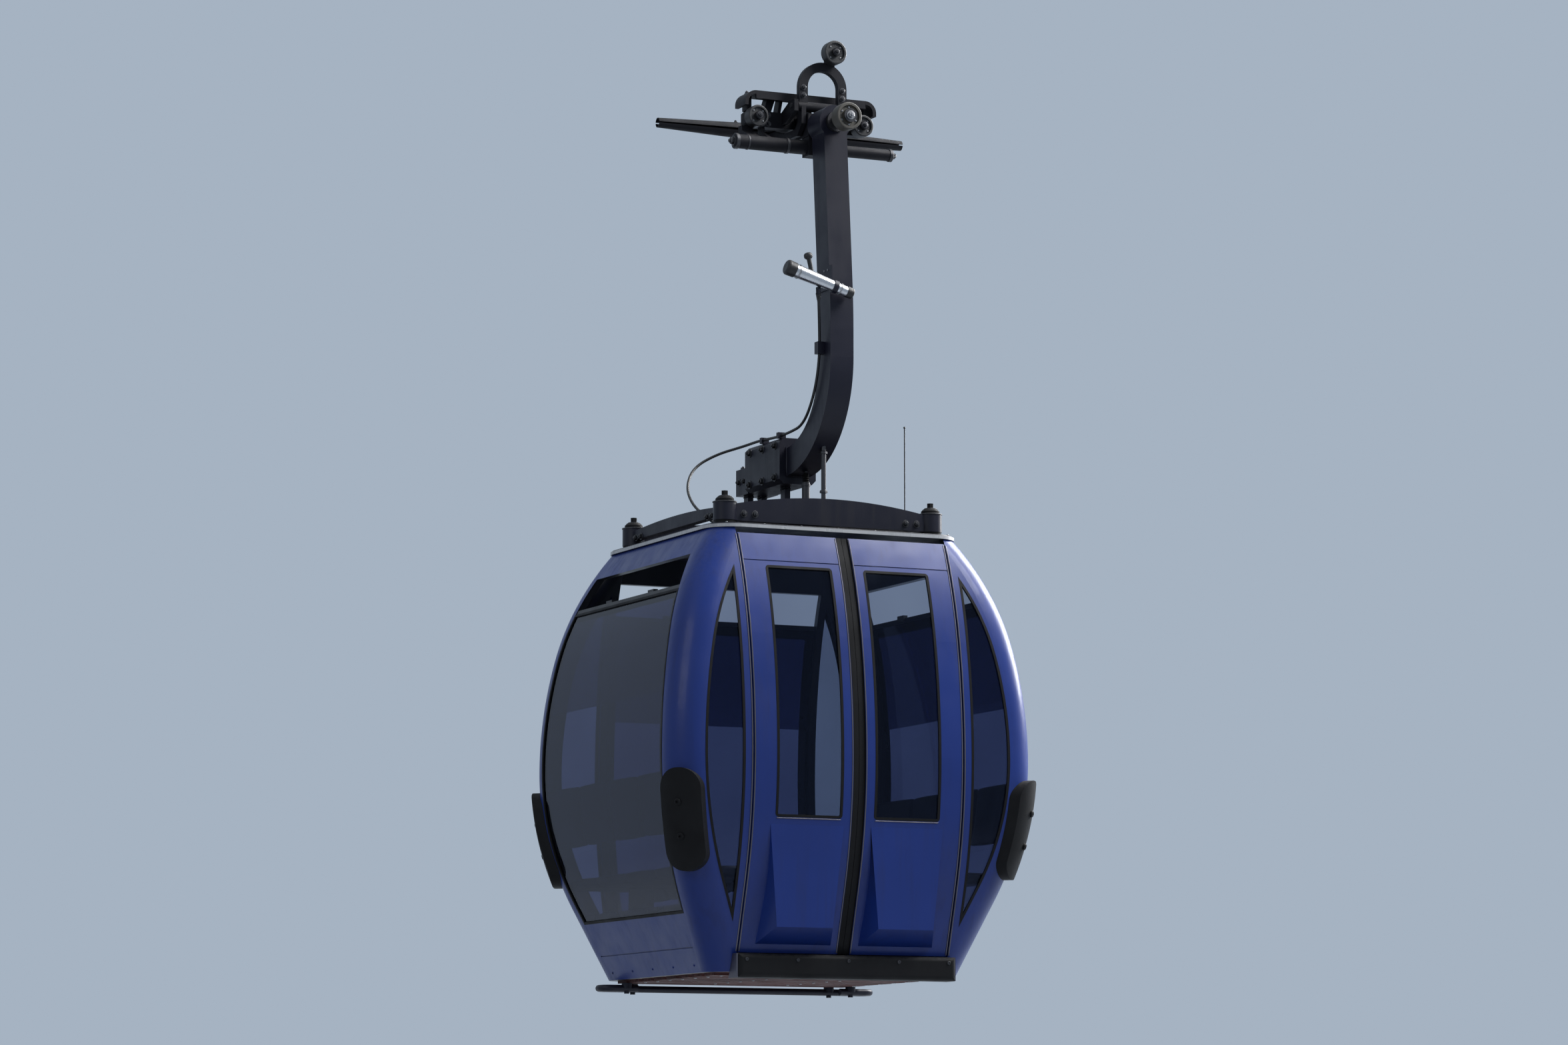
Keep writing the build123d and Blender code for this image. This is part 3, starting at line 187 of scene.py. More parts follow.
def layered(tree, factor, first, second):
    """Mixes two shaders."""
    return node(tree, "ShaderNodeMixShader", {"Fac": factor, 1: first, 2: second}).outputs[0]


def relief(tree, height, strength, distance):
    """Bump from a height."""
    return node(tree, "ShaderNodeBump", {"Height": height, "Strength": strength, "Distance": distance})


# Shader node groups

GRIME_COLOUR = (0.02, 0.019, 0.018, 1)
DUST_COLOUR = (0.3, 0.28, 0.25, 1)
# How much full dirt adds to the roughness
DULLING = 0.45


def new_group(name, takes, gives):
    """An empty node group with its sockets: those called Color hold a colour, the others a number."""
    group = bpy.data.node_groups.new(name, "ShaderNodeTree")
    for way, labels in (("INPUT", takes), ("OUTPUT", gives)):
        for label in labels:
            kind = "NodeSocketColor" if label == "Color" else "NodeSocketFloat"
            group.interface.new_socket(name=label, in_out=way, socket_type=kind)
    return group


def weather_group():
    """Dust on faces that look up, grime in faint upright streaks, and a slow drift of colour."""
    group = bpy.data.node_groups.get("Weather")
    if group:
        return group
    group = new_group("Weather", ("Color", "Dust", "Grime", "Drift"), ("Color", "Dirt"))
    given = node(group, "NodeGroupInput").outputs
    spot = place_on(group)
    stretched = node(group, "ShaderNodeMapping", {"Vector": spot, "Scale": (26, 26, 1.3)})
    streaks = spread(group, noise(group, stretched.outputs["Vector"], 1.0, 5), 0.48, 0.78)
    patches = spread(group, noise(group, spot, 2.2, 3), 0.35, 0.65)
    grime = product(group, streaks, patches, given["Grime"])
    facing = node(group, "ShaderNodeSeparateXYZ", {0: node(group, "ShaderNodeTexCoord").outputs["Normal"]})
    upward = spread(group, facing.outputs["Z"], 0.35, 0.95)
    specks = spread(group, noise(group, spot, 55, 6, 0.7), 0.38, 0.72)
    dust = product(group, upward, specks, given["Dust"])
    drift = product(group, spread(group, noise(group, spot, 1.4, 2), 0.3, 0.7, -1, 1), given["Drift"])
    toned = node(group, "ShaderNodeVectorMath", {0: given["Color"], "Scale": maths(group, "ADD", drift, 1.0)},
                 operation="SCALE")
    grimed = blend(group, grime, toned.outputs[0], GRIME_COLOUR)
    feed(group, node(group, "NodeGroupOutput"), {
        "Color": blend(group, dust, grimed, DUST_COLOUR),
        "Dirt": maths(group, "ADD", grime, dust, clamp=True)})
    return group


def grain_group():
    """A fine surface: bump height and a roughness that varies broadly and rises with dirt."""
    group = bpy.data.node_groups.get("Grain")
    if group:
        return group
    group = new_group("Grain", ("Scale", "Roughness", "Variation", "Dirt"), ("Height", "Roughness"))
    given = node(group, "NodeGroupInput").outputs
    spot = place_on(group)
    broad = spread(group, noise(group, spot, 7, 4), 0.3, 0.7, -1, 1)
    varied = maths(group, "MULTIPLY_ADD", broad, given["Variation"], given["Roughness"])
    feed(group, node(group, "NodeGroupOutput"), {
        "Height": noise(group, spot, given["Scale"], 5, 0.6),
        "Roughness": maths(group, "MULTIPLY_ADD", given["Dirt"], DULLING, varied, clamp=True)})
    return group


def inward_shade_group():
    """Mask that is 1 on faces that look into the cabin and 0 on those that look out: it places the body paint's
    painted shade.
    """
    group = bpy.data.node_groups.get("Lining")
    if group:
        return group
    group = new_group("Lining", (), ("Mask",))
    here = node(group, "ShaderNodeTexCoord").outputs
    level = node(group, "ShaderNodeVectorMath", {0: here["Object"], 1: (1, 1, 0)}, operation="MULTIPLY")
    outward = node(group, "ShaderNodeVectorMath", {0: level.outputs[0]}, operation="NORMALIZE")
    facing = node(group, "ShaderNodeVectorMath", {0: outward.outputs[0], 1: here["Normal"]},
                  operation="DOT_PRODUCT")
    feed(group, node(group, "NodeGroupOutput"), {
        "Mask": spread(group, facing.outputs["Value"], 0.02, 0.2, 1.0, 0.0)})
    return group


def placed_group(tree, group, **inputs):
    """Puts a node group in a material, under the group's own name, and feeds its inputs."""
    return node(tree, "ShaderNodeGroup", inputs, node_tree=group, name=group.name)


# Materials

# Columns: colour or the setting that holds it, roughness, metallic, dust, grime, drift of colour,
# scale of the grain, height of its bump, variation of the roughness, specular level
FINISHES = {
    "Cabin paint": ("paint_colour", 0.38, 0, 0.15, 0.3, 0.12, 160, 0.0003, 0.07, 0.3),
    # This paint's near-black colour is partly painted shade
    "Hanger paint": ("frame_colour", 0.42, 0, 0.18, 0.35, 0.2, 150, 0.00035, 0.07, 0.28),
    "Painted casting": ("casting_colour", 0.56, 0, 0.12, 0.3, 0.25, 300, 0.0013, 0.1, 0.2),
    "Black rubber": ("rubber_colour", 0.6, 0, 0.14, 0.1, 0.2, 500, 0.0008, 0.1, 0.18),
    "Bare steel": ((0.3, 0.3, 0.31), 0.36, 1, 0.3, 0.45, 0.2, 420, 0.0005, 0.12, 0.5),
    "Dark steel": ((0.06, 0.06, 0.065), 0.42, 0.85, 0.2, 0.4, 0.25, 420, 0.0006, 0.12, 0.5),
    "Anodised moulding": ((0.13, 0.125, 0.15), 0.45, 0.9, 0.1, 0.3, 0.15, 500, 0.0003, 0.1, 0.5),
    # The strip's pale grey is partly its own colour and partly a painted reflection
    "Pale strip": ((0.55, 0.56, 0.58), 0.3, 0.15, 0.1, 0.4, 0.12, 300, 0.0003, 0.1, 0.5),
    "Tube metal": ((0.5, 0.51, 0.53), 0.3, 1, 0.3, 0.3, 0.08, 380, 0.0003, 0.08, 0.5),
    "Black moulding": ((0.012, 0.012, 0.014), 0.46, 0, 0.35, 0.1, 0.1, 650, 0.0006, 0.06, 0.5),
    "Seat moulding": ((0.02, 0.02, 0.024), 0.5, 0, 0.12, 0.1, 0.12, 800, 0.0009, 0.06, 0.5),
    "Seat cover": ((0.016, 0.016, 0.019), 0.55, 0, 0.1, 0.15, 0.15, 900, 0.0006, 0.08, 0.4),
    "Lamp cover": ((0.6, 0.6, 0.58), 0.4, 0, 0.1, 0.1, 0.05, 300, 0.0002, 0.05, 0.5),
    "Grey tread": ((0.085, 0.078, 0.066), 0.5, 0, 0.3, 0.5, 0.25, 260, 0.0008, 0.1, 0.5),
    "Black tread": ((0.02, 0.02, 0.022), 0.45, 0, 0.35, 0.2, 0.2, 260, 0.0008, 0.1, 0.5),
    "Black border": ((0.004, 0.004, 0.005), 0.25, 0, 0.05, 0.05, 0.1, 900, 0.0002, 0.05, 0.5),
    "Lead sheath": ((0.012, 0.012, 0.013), 0.5, 0, 0.3, 0.1, 0.1, 700, 0.0004, 0.06, 0.5),
}
# Near-black painted shade on the faces of the body that look into the cabin
PAINTED_INWARD_SHADE = (0.008, 0.008, 0.009, 1)
# The setting that holds the colour of each kind of glass
PANE_TINTS = {"Tinted glass": "glass_colour", "Door glass": "door_glass_colour"}
# Blue tint of the glass's reflections: a painted sky reflection
PAINTED_SKY_REFLECTION_TINT = (0.5, 0.62, 1, 1)


def new_material(name):
    """A new material, its node tree and its Principled shader."""
    made = bpy.data.materials.new(name)
    made.use_nodes = True
    return made, made.node_tree, made.node_tree.nodes["Principled BSDF"]


def weathered(tree, surface, base, dust, grime, drift, grain, roughness, variation, specular):
    """Gives a Principled shader its weathered colour and roughness; returns the height of the grain."""
    weather = placed_group(tree, weather_group(), Color=base, Dust=dust, Grime=grime, Drift=drift)
    fine = placed_group(tree, grain_group(), Scale=grain, Roughness=roughness, Variation=variation,
                        Dirt=weather.outputs["Dirt"])
    feed(tree, surface, {
        "Base Color": weather.outputs["Color"],
        "Roughness": fine.outputs["Roughness"],
        "Specular IOR Level": specular})
    return fine.outputs["Height"]


def finish(name):
    """A weathered solid surface from the table of finishes, with its own Principled shader."""
    base, roughness, metallic, dust, grime, drift, grain, bump, variation, specular = FINISHES[name]
    if isinstance(base, str):
        base = getattr(looks(), base)[:3]
    made, tree, surface = new_material(name)
    height = weathered(tree, surface, (*base, 1), dust, grime, drift, grain, roughness, variation, specular)
    feed(tree, surface, {"Normal": relief(tree, height, 0.6, bump).outputs["Normal"], "Metallic": metallic})
    return made


def cabin_paint(name):
    """Deep blue body paint under a clear coat, with painted shade: near black on the faces that look into the
    cabin.
    """
    made = finish(name)
    tree = made.node_tree
    weather = tree.nodes["Weather"]
    inward = placed_group(tree, inward_shade_group()).outputs["Mask"]
    # Painted shade: the faces that look into the cabin turn near black
    shades = blend(tree, inward, weather.inputs["Color"].default_value, PAINTED_INWARD_SHADE)
    feed(tree, weather, {"Color": shades})
    feed(tree, tree.nodes["Principled BSDF"], {"Coat Weight": 0.14, "Coat Roughness": 0.12})
    return made


def seat_cover(name):
    """Charcoal coated fabric of the cushions, with a fine leather-like grain."""
    made = finish(name)
    tree = made.node_tree
    pebbles = node(tree, "ShaderNodeTexVoronoi", {"Vector": place_on(tree), "Scale": 420})
    fine = tree.nodes["Bump"]
    coarse = relief(tree, pebbles.outputs["Distance"], 0.5, 0.0008)
    feed(tree, coarse, {"Normal": fine.outputs["Normal"]})
    feed(tree, tree.nodes["Principled BSDF"], {"Normal": coarse.outputs["Normal"]})
    return made


def boards(name):
    """Stained floor boards with grain along their length."""
    made, tree, surface = new_material(name)
    along = node(tree, "ShaderNodeMapping", {"Vector": place_on(tree), "Scale": (1.6, 34, 34)})
    fibres = noise(tree, along.outputs["Vector"], 1.0, 7, 0.65)
    red, green, blue, _ = looks().board_colour
    shades = blend(tree, spread(tree, fibres, 0.3, 0.7),
                   (red * 0.45, green * 0.42, blue * 0.42, 1), (red * 1.7, green * 1.7, blue * 1.7, 1))
    weathered(tree, surface, shades, dust=0.3, grime=0.6, drift=0.3,
              grain=240, roughness=0.66, variation=0.12, specular=0.2)
    feed(tree, surface, {"Normal": relief(tree, fibres, 0.7, 0.0018).outputs["Normal"]})
    return made


def glazing(name):
    """Tinted pane whose colour drifts a little, with a painted blue sky reflection in its reflections; lamps
    shine through it.
    """
    made, tree, surface = new_material(name)
    tint = tuple(getattr(looks(), PANE_TINTS[name]))
    deeper = (tint[0] * 0.86, tint[1] * 0.86, tint[2] * 0.88, 1)
    feed(tree, surface, {
        "Base Color": blend(tree, spread(tree, noise(tree, place_on(tree), 1.2, 2), 0.35, 0.65), tint, deeper),
        "Roughness": 0.0,
        "Transmission Weight": 1.0,
        "IOR": 1.26,
        # Painted reflection: the pane's reflections are tinted blue
        "Specular Tint": PAINTED_SKY_REFLECTION_TINT})
    clear = node(tree, "ShaderNodeBsdfTransparent", {"Color": tint})
    in_shadow = node(tree, "ShaderNodeLightPath").outputs["Is Shadow Ray"]
    feed(tree, tree.nodes["Material Output"], {
        "Surface": layered(tree, in_shadow, surface.outputs[0], clear.outputs[0])})
    return made


# Materials that take more than a row of the table
MAKERS = {
    "Cabin paint": cabin_paint,
    "Seat cover": seat_cover,
    "Floor boards": boards,
    "Tinted glass": glazing,
    "Door glass": glazing,
}


def material(name):
    """A material by its name, made when it is first asked for."""
    return bpy.data.materials.get(name) or MAKERS.get(name, finish)(name)


# The material of each carried-over node, by its name or the beginning of its name
NODE_FINISHES = (
    ("Cabin paint", ("corner_frame_", "end_panel_", "end_header_", "rear_panel", "rear_header", "door_leaf_")),
    ("Tinted glass", ("end_glass_", "rear_glass", "drop_panes")),
    ("Door glass", ("corner_glass", "door_glass_")),
    ("Black rubber", ("door_seals", "sill_bumper", "corner_bumpers", "roof_buffers")),
    ("Hanger paint", ("guide_rail", "roof", "roof_frame", "hanger_arm", "foot_", "unit_bracket")),
    ("Black moulding", ("window_rails", "unit_caps", "junction_box", "aerial")),
    ("Seat moulding", ("seat_", "backrests", "bench_legs")),
    ("Floor boards", ("floor",)),
    ("Dark steel", ("suspension_rods", "pivot_pin", "lever_pin")),
    ("Painted casting", ("grip_body", "fixed_jaw", "upper_tongues", "running_plate", "torsion_bars",
                         "clamp_lever", "moving_jaw", "lower_tongues")),
    ("Tube metal", ("unit_tube",)),
    ("Lead sheath", ("lead",)),
    ("Grey tread", ("outer_roller",)),
    ("Black tread", ("lever_roller", "inner_roller_")),
)


def finish_of(name):
    """The material of a node: an exact name wins over a beginning."""
    begins = None
    for chosen, names in NODE_FINISHES:
        if name in names:
            return chosen
        if name.startswith(names):
            begins = chosen
    return begins


# Shared modelling

def dressed(name, data, surface, body):
    """An object with one material, that rides on a body."""
    made = bpy.data.objects.new(name, data)
    bpy.context.scene.collection.objects.link(made)
    data.materials.append(material(surface))
    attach(made, body)
    return made


def mesh_of(name, shape):
    """A mesh of a bmesh, which it frees."""
    mesh = bpy.data.meshes.new(name)
    shape.to_mesh(mesh)
    shape.free()
    return mesh


def smooth(mesh, angle):
    """Shades a mesh smooth, with edges sharper than the angle kept."""
    for face in mesh.polygons:
        face.use_smooth = True
    mesh.set_sharp_from_angle(angle=math.radians(angle))


def piece(name, shape, surface, body, angle=35):
    """Turns a bmesh into a piece that rides on a body, smooth but for edges sharper than the angle."""
    mesh = mesh_of(name, shape)
    smooth(mesh, angle)
    return dressed(name, mesh, surface, body)


def turned_to(axis, point):
    """Matrix that stands a shape built along +Z on a point, along another axis."""
    return Matrix.Translation(point) @ Vector(axis).to_track_quat("Z", "Y").to_matrix().to_4x4()


DOWN, UP = (0, 0, -1), (0, 0, 1)
AHEAD, BACK = (0, 1, 0), (0, -1, 0)
LEFTWARD, RIGHTWARD = (-1, 0, 0), (1, 0, 0)


# Corners of a built part, and of a CAD node, that stand this near to each other are one
SAME_CORNER = 0.000001
SAME_CAD_CORNER = 0.00005


def join(shape, part, matrix):
    """Moves a finished part into place and adds it to a shape."""
    bmesh.ops.remove_doubles(part, verts=part.verts, dist=SAME_CORNER)
    bmesh.ops.recalc_face_normals(part, faces=part.faces)
    bmesh.ops.transform(part, matrix=matrix, verts=part.verts)
    mesh = mesh_of("part", part)
    shape.from_mesh(mesh)
    bpy.data.meshes.remove(mesh)


def add_turned(shape, point, axis, profile, steps=32, closed=False):
    """A turned part: a profile of (radius, height) pairs spun round an axis that stands on a point."""
    part = bmesh.new()
    corners = [part.verts.new((radius, 0, height)) for radius, height in profile]
    rails = [part.edges.new(pair) for pair in zip(corners, corners[1:])]
    if closed:
        rails.append(part.edges.new((corners[-1], corners[0])))
    bmesh.ops.spin(part, geom=corners + rails, cent=(0, 0, 0), axis=(0, 0, 1),
                   angle=math.tau, steps=steps, use_merge=True)
    join(shape, part, turned_to(axis, Vector(point)))


def add_ring(shape, point, axis, inner, outer, width, steps=32):
    """A flat collar with broken edges, centred on a point."""
    edge = min(outer - inner, width) * 0.25
    half = width / 2
    add_turned(shape, point, axis, (
        (inner, -half), (outer - edge, -half), (outer, edge - half),
        (outer, half - edge), (outer - edge, half), (inner, half)), steps, closed=True)


def add_hexagon(shape, point, axis, across, height):
    """A hexagon head or nut with its top corners broken."""
    part = bmesh.new()
    radius = across / math.sqrt(3)
    bmesh.ops.create_cone(part, cap_ends=True, cap_tris=False, segments=6, radius1=radius, radius2=radius,
                          depth=height, matrix=Matrix.Translation((0, 0, height / 2)))
    top = [edge for edge in part.edges if all(vert.co.z > height * 0.9 for vert in edge.verts)]
    bmesh.ops.bevel(part, geom=top, offset=across * 0.09, segments=1, profile=0.5, affect="EDGES", material=-1)
    join(shape, part, turned_to(axis, Vector(point)))


def add_bolt(shape, point, axis, across):
    """A washer with a hexagon head and the end of the thread."""
    way = Vector(axis).normalized()
    washer = across * 0.12
    add_turned(shape, point, axis, (
        (0, 0), (across * 0.85, 0), (across * 0.85, washer * 0.7), (across * 0.8, washer), (0, washer)), 20)
    add_hexagon(shape, Vector(point) + way * washer * 0.9, axis, across, across * 0.55)
    add_turned(shape, Vector(point) + way * across * 0.6, axis, (
        (0, 0), (across * 0.3, 0), (across * 0.3, across * 0.2), (across * 0.24, across * 0.27),
        (0, across * 0.27)), 12)


def add_screw(shape, point, axis, across):
    """A low round head with a socket in it."""
    radius = across / 2
    add_turned(shape, point, axis, (
        (0, 0), (radius, 0), (radius, radius * 0.35), (radius * 0.8, radius * 0.6),
        (radius * 0.42, radius * 0.66), (radius * 0.36, radius * 0.3), (0, radius * 0.3)), 14)


def add_block(shape, centre, size, edge):
    """A block with rounded edges."""
    part = bmesh.new()
    bmesh.ops.create_cube(part, size=1, matrix=Matrix.Diagonal((*size, 1)))
    bmesh.ops.bevel(part, geom=part.edges[:], offset=edge, segments=3, profile=0.5, affect="EDGES", material=-1)
    join(shape, part, Matrix.Translation(centre))


# A line whose ends stand this near to each other is closed
CLOSED_WITHIN = 0.00001


def round_curve(name, radius, resolution):
    """An empty curve whose lines become round bars."""
    curve = bpy.data.curves.new(name, "CURVE")
    curve.dimensions = "3D"
    curve.bevel_depth = radius
    curve.bevel_resolution = resolution
    curve.use_fill_caps = True
    return curve


def bars(name, lines, radius, surface, body):
    """A piece of round bars, beads or wires, one along each line of points; a closed line becomes a ring."""
    curve = round_curve(name, radius, 3)
    for points in lines:
        line = curve.splines.new("POLY")
        line.use_cyclic_u = (Vector(points[0]) - Vector(points[-1])).length < CLOSED_WITHIN
        points = points[:-1] if line.use_cyclic_u else points
        line.points.add(len(points) - 1)
        for corner, point in zip(line.points, points):
            corner.co = (*point, 1)
    return dressed(name, curve, surface, body)


def merged(name):
    """A copy of a node's mesh with its loose triangles joined."""
    shape = bmesh.new()
    shape.from_mesh(frame["nodes"][name].data)
    bmesh.ops.remove_doubles(shape, verts=shape.verts, dist=SAME_CAD_CORNER)
    return shape


def drop_faces(shape, wrong):
    """Deletes the faces that a test picks out."""
    bmesh.ops.delete(shape, geom=[face for face in shape.faces if wrong(face)], context="FACES")


def ridden_by(name):
    """The body that a node rides on."""
    return body_of(frame["nodes"][name])[0]


@functools.cache
def surface_of(name):
    """The faces of a node, ready to be met by lines."""
    shape = bmesh.new()
    shape.from_mesh(frame["nodes"][name].data)
    faces = BVHTree.FromBMesh(shape)
    shape.free()
    return faces


def met(name, start, way):
    """Where a straight line from a start first meets a node, and which way the surface faces there."""
    point, facing, _, _ = surface_of(name).ray_cast(Vector(start), Vector(way).normalized())
    if point is None:
        raise RuntimeError(f"no surface of {name} lies along {way} from {start}")
    return point, facing


class FinishNodes(bpy.types.Operator):
    """Gives every carried-over node its finish"""
    bl_idname = "cabin.finish_nodes"
    bl_label = "Finish the CAD nodes"

    def execute(self, context):
        for name, made in frame["nodes"].items():
            surface = finish_of(name)
            if surface is None:
                raise RuntimeError("no finish for " + name)
            made.data.materials.clear()
            made.data.materials.append(material(surface))
        return {"FINISHED"}


# Panes with a gasket: node, and the axis across the wall that it stands in. The first three also have a border.
GASKET_PANES = (
    ("end_glass_left", 0),
    ("end_glass_right", 0),
    ("rear_glass", 1),
    ("corner_glass", 1),
    ("door_glass_left", 1),
    ("door_glass_right", 1),
)
BORDERED_PANES = GASKET_PANES[:3]
BORDER_THICKNESS = 0.0008
# Faces of a pane that look less than this much across the wall are its edges
EDGE_FACING = 0.6


def thicken(shape, axes, way, thickness):
    """Thickens an open skin away from the cabin's middle along the axes for way 1, towards it for -1."""
    bmesh.ops.recalc_face_normals(shape, faces=shape.faces[:])
    wrong = [face for face in shape.faces
             if sum(face.normal[axis] * face.calc_center_median()[axis] for axis in axes) * way < 0]
    if len(wrong) * 2 > len(shape.faces):
        bmesh.ops.reverse_faces(shape, faces=shape.faces[:])
    bmesh.ops.solidify(shape, geom=shape.faces[:], thickness=-thickness)
    bmesh.ops.recalc_face_normals(shape, faces=shape.faces[:])


def pane_band(name, across, way, width, thickness):
    """A band along the edge of a pane, on its outer face for way 1 and on its inner one for -1."""
    shape = merged(name)
    drop_faces(shape, lambda face: face.normal[across] * face.calc_center_median()[across] * way < 0
               or abs(face.normal[across]) < EDGE_FACING)
    bmesh.ops.inset_region(shape, faces=shape.faces[:], thickness=width,
                           use_boundary=True, use_even_offset=True)
    rims = {face for edge in shape.edges if edge.is_boundary for face in edge.link_faces}
    drop_faces(shape, lambda face: face not in rims)
    thicken(shape, (across,), way, thickness)
    return shape


class Gaskets(bpy.types.Operator):
    """Lays a rubber gasket round the outer face of each pane and a black border inside the large ones"""
    bl_idname = "cabin.gaskets"
    bl_label = "Window gaskets and borders"

    def execute(self, context):
        for name, across in GASKET_PANES:
            shape = pane_band(name, across, 1, looks().gasket_width, looks().gasket_height)
            piece("gasket_" + name, shape, "Black rubber", "cabin")
        for name, across in BORDERED_PANES:
            shape = pane_band(name, across, -1, looks().border_width, BORDER_THICKNESS)
            piece("border_" + name, shape, "Black border", "cabin")
        return {"FINISHED"}


# A plane in front of the doors, from which lines run back to them
BEFORE_DOORS = -1.5
# Upright mouldings: lower and upper end, distance from the doorway's middle on each leaf and on its post
MOULDING_ENDS = (-4.172, -2.155)
LEAF_MOULDINGS = (0.0375, 0.5545)
POST_MOULDING = 0.5695
MOULDING_STEPS = 60
# Mouldings under the door windows: height, and distances of the two ends from the doorway's middle
SILL_HEIGHT = -3.5405
SILL_ENDS = (0.092, 0.432)
SILL_STEPS = 8
# Radius of a sill moulding as a part of the upright mouldings' width
SILL_SHARE = 0.4


def front_line(name, start, end, steps):
    """Points on the front of a node, straight in a front view from start to end, given as (x, z)."""
    line = []
    for step in range(steps + 1):
        part = step / steps
        x = start[0] + (end[0] - start[0]) * part
        z = start[1] + (end[1] - start[1]) * part
        line.append(met(name, (x, BEFORE_DOORS, z), AHEAD)[0])
    return line


class DoorTrim(bpy.types.Operator):
    """Runs metal mouldings along the door leaves, the doorway and the sills of the door windows"""
    bl_idname = "cabin.door_trim"
    bl_label = "Door mouldings"

    def execute(self, context):
        edges, sills = [], []
        for side, leaf, post in ((-1, "door_leaf_left", "corner_frame_front_left"),
                                 (1, "door_leaf_right", "corner_frame_front_right")):
            for holder, distance in (*((leaf, distance) for distance in LEAF_MOULDINGS), (post, POST_MOULDING)):
                low, high = ((side * distance, height) for height in MOULDING_ENDS)
                edges.append(front_line(holder, low, high, MOULDING_STEPS))
            inner, outer = ((side * distance, SILL_HEIGHT) for distance in SILL_ENDS)
            sills.append(front_line(leaf, inner, outer, SILL_STEPS))
        width = looks().moulding_width
        bars("door_mouldings", edges, width / 2, "Anodised moulding", "cabin")
        bars("window_sills", sills, width * SILL_SHARE, "Anodised moulding", "cabin")
        return {"FINISHED"}


STRIP_THICKNESS = 0.004
# Faces of the roof that look up or down more than this aren't its edge
LEVEL_FACING = 0.5
# Ceiling lights: distance of each from the cabin's middle, height, size and rounding
LIGHT_ASIDE = 0.34
LIGHT_HEIGHT = -2.135
LIGHT_SIZE = (0.66, 0.075, 0.034)
LIGHT_ROUNDING = 0.012


class RoofTrim(bpy.types.Operator):
    """Puts the pale strip round the roof's edge and the lights under the ceiling; the strip's pale colour is
    partly its own and partly a painted reflection.
    """
    bl_idname = "cabin.roof_trim"
    bl_label = "Roof strip and ceiling lights"

    def execute(self, context):
        shape = merged("roof")
        drop_faces(shape, lambda face: abs(face.normal.z) > LEVEL_FACING)
        thicken(shape, (0, 1), 1, STRIP_THICKNESS)
        piece("roof_strip", shape, "Pale strip", "cabin")
        shape = bmesh.new()
        for side in (-1, 1):
            add_block(shape, (0, side * LIGHT_ASIDE, LIGHT_HEIGHT), LIGHT_SIZE, LIGHT_ROUNDING)
        piece("ceiling_lights", shape, "Lamp cover", "cabin")
        return {"FINISHED"}


PLATE_THICKNESS = 0.004
# Faces of the sill bumper that look along it at least this much are its ends; flatter folds in them go
END_FACING = 0.9
FLAT_FOLD = 0.02


class SillTrim(bpy.types.Operator):
    """Adds the metal end plates of the sill bumper"""
    bl_idname = "cabin.sill_trim"
    bl_label = "Sill bumper end plates"

    def execute(self, context):
        shape = merged("sill_bumper")
        drop_faces(shape, lambda face: abs(face.normal.x) < END_FACING)
        bmesh.ops.dissolve_limit(shape, angle_limit=FLAT_FOLD, verts=shape.verts[:], edges=shape.edges[:])
        bmesh.ops.solidify(shape, geom=shape.faces[:], thickness=-PLATE_THICKNESS)
        bmesh.ops.recalc_face_normals(shape, faces=shape.faces[:])
        piece("sill_end_plates", shape, "Anodised moulding", "cabin")
        return {"FINISHED"}


CUSHIONS = ("seat_left", "seat_right", "backrests")
# Faces of a cushion are about this long, and its edges are rounded by this many smoothing passes
CUSHION_FACE = 0.009
CUSHION_PASSES = 16
# Seams run across the benches at these y; each pulls the cover in by its depth, over its width
SEAMS = (-0.36, 0, 0.36)
SEAM_DEPTH = 0.009
SEAM_WIDTH = 0.011
# Halfway between two seams the cover stands out by the swell; the seams are twice this span apart
SWELL = 0.004
SWELL_SPAN = 0.18


class Cushions(bpy.types.Operator):
    """Sews the seat and back cushions: rounded, crowned pads with seams between the places"""
    bl_idname = "cabin.cushions"
    bl_label = "Cushions"

    def execute(self, context):
        for name in CUSHIONS:
            made = piece("cushion_" + name, merged(name), "Seat cover", "cabin")
            remesh = made.modifiers.new("Even faces", "REMESH")
            remesh.mode = "VOXEL"
            remesh.voxel_size = CUSHION_FACE
            rounding = made.modifiers.new("Round edges", "SMOOTH")
            rounding.factor = 0.5
            rounding.iterations = CUSHION_PASSES
            context.view_layer.update()
            pad = bpy.data.meshes.new_from_object(made.evaluated_get(context.evaluated_depsgraph_get()))
            made.modifiers.clear()
            made.data = pad
            self.sew(pad)
            smooth(pad, 60)
            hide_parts(name)
        return {"FINISHED"}

    def sew(self, pad):
        """Pulls the cover in along each seam and lets it swell between them."""
        moves = []
        for vertex in pad.vertices:
            near = min(abs(vertex.co.y - seam) for seam in SEAMS)
            pull = SEAM_DEPTH * math.exp(-(near / SEAM_WIDTH) ** 2)
            swell = SWELL * math.sin(min(near, SWELL_SPAN) / SWELL_SPAN * math.pi / 2)
            moves.append(vertex.co + vertex.normal * (swell - pull))
        for vertex, spot in zip(pad.vertices, moves):
            vertex.co = spot


# Corners of the lead, from the unit on the arm down to the box on the roof: x, y, height above the underside
LEAD_ROUTE = (
    (-0.138, -0.738, 3.322),
    (-0.092, -0.652, 3.186),
    (-0.080, -0.628, 3.010),
    (-0.078, -0.562, 2.846),
    (-0.078, -0.440, 2.716),
    (-0.076, -0.275, 2.699),
    (-0.077, -0.108, 2.695),
    (-0.084, 0.060, 2.703),
    (-0.110, 0.209, 2.690),
    (-0.210, 0.314, 2.658),
    (-0.330, 0.334, 2.586),
    (-0.410, 0.245, 2.470),
    (-0.440, 0.098, 2.358),
    (-0.428, -0.060, 2.276),
    (-0.408, -0.142, 2.226),
    (-0.406, -0.203, 2.221),
)
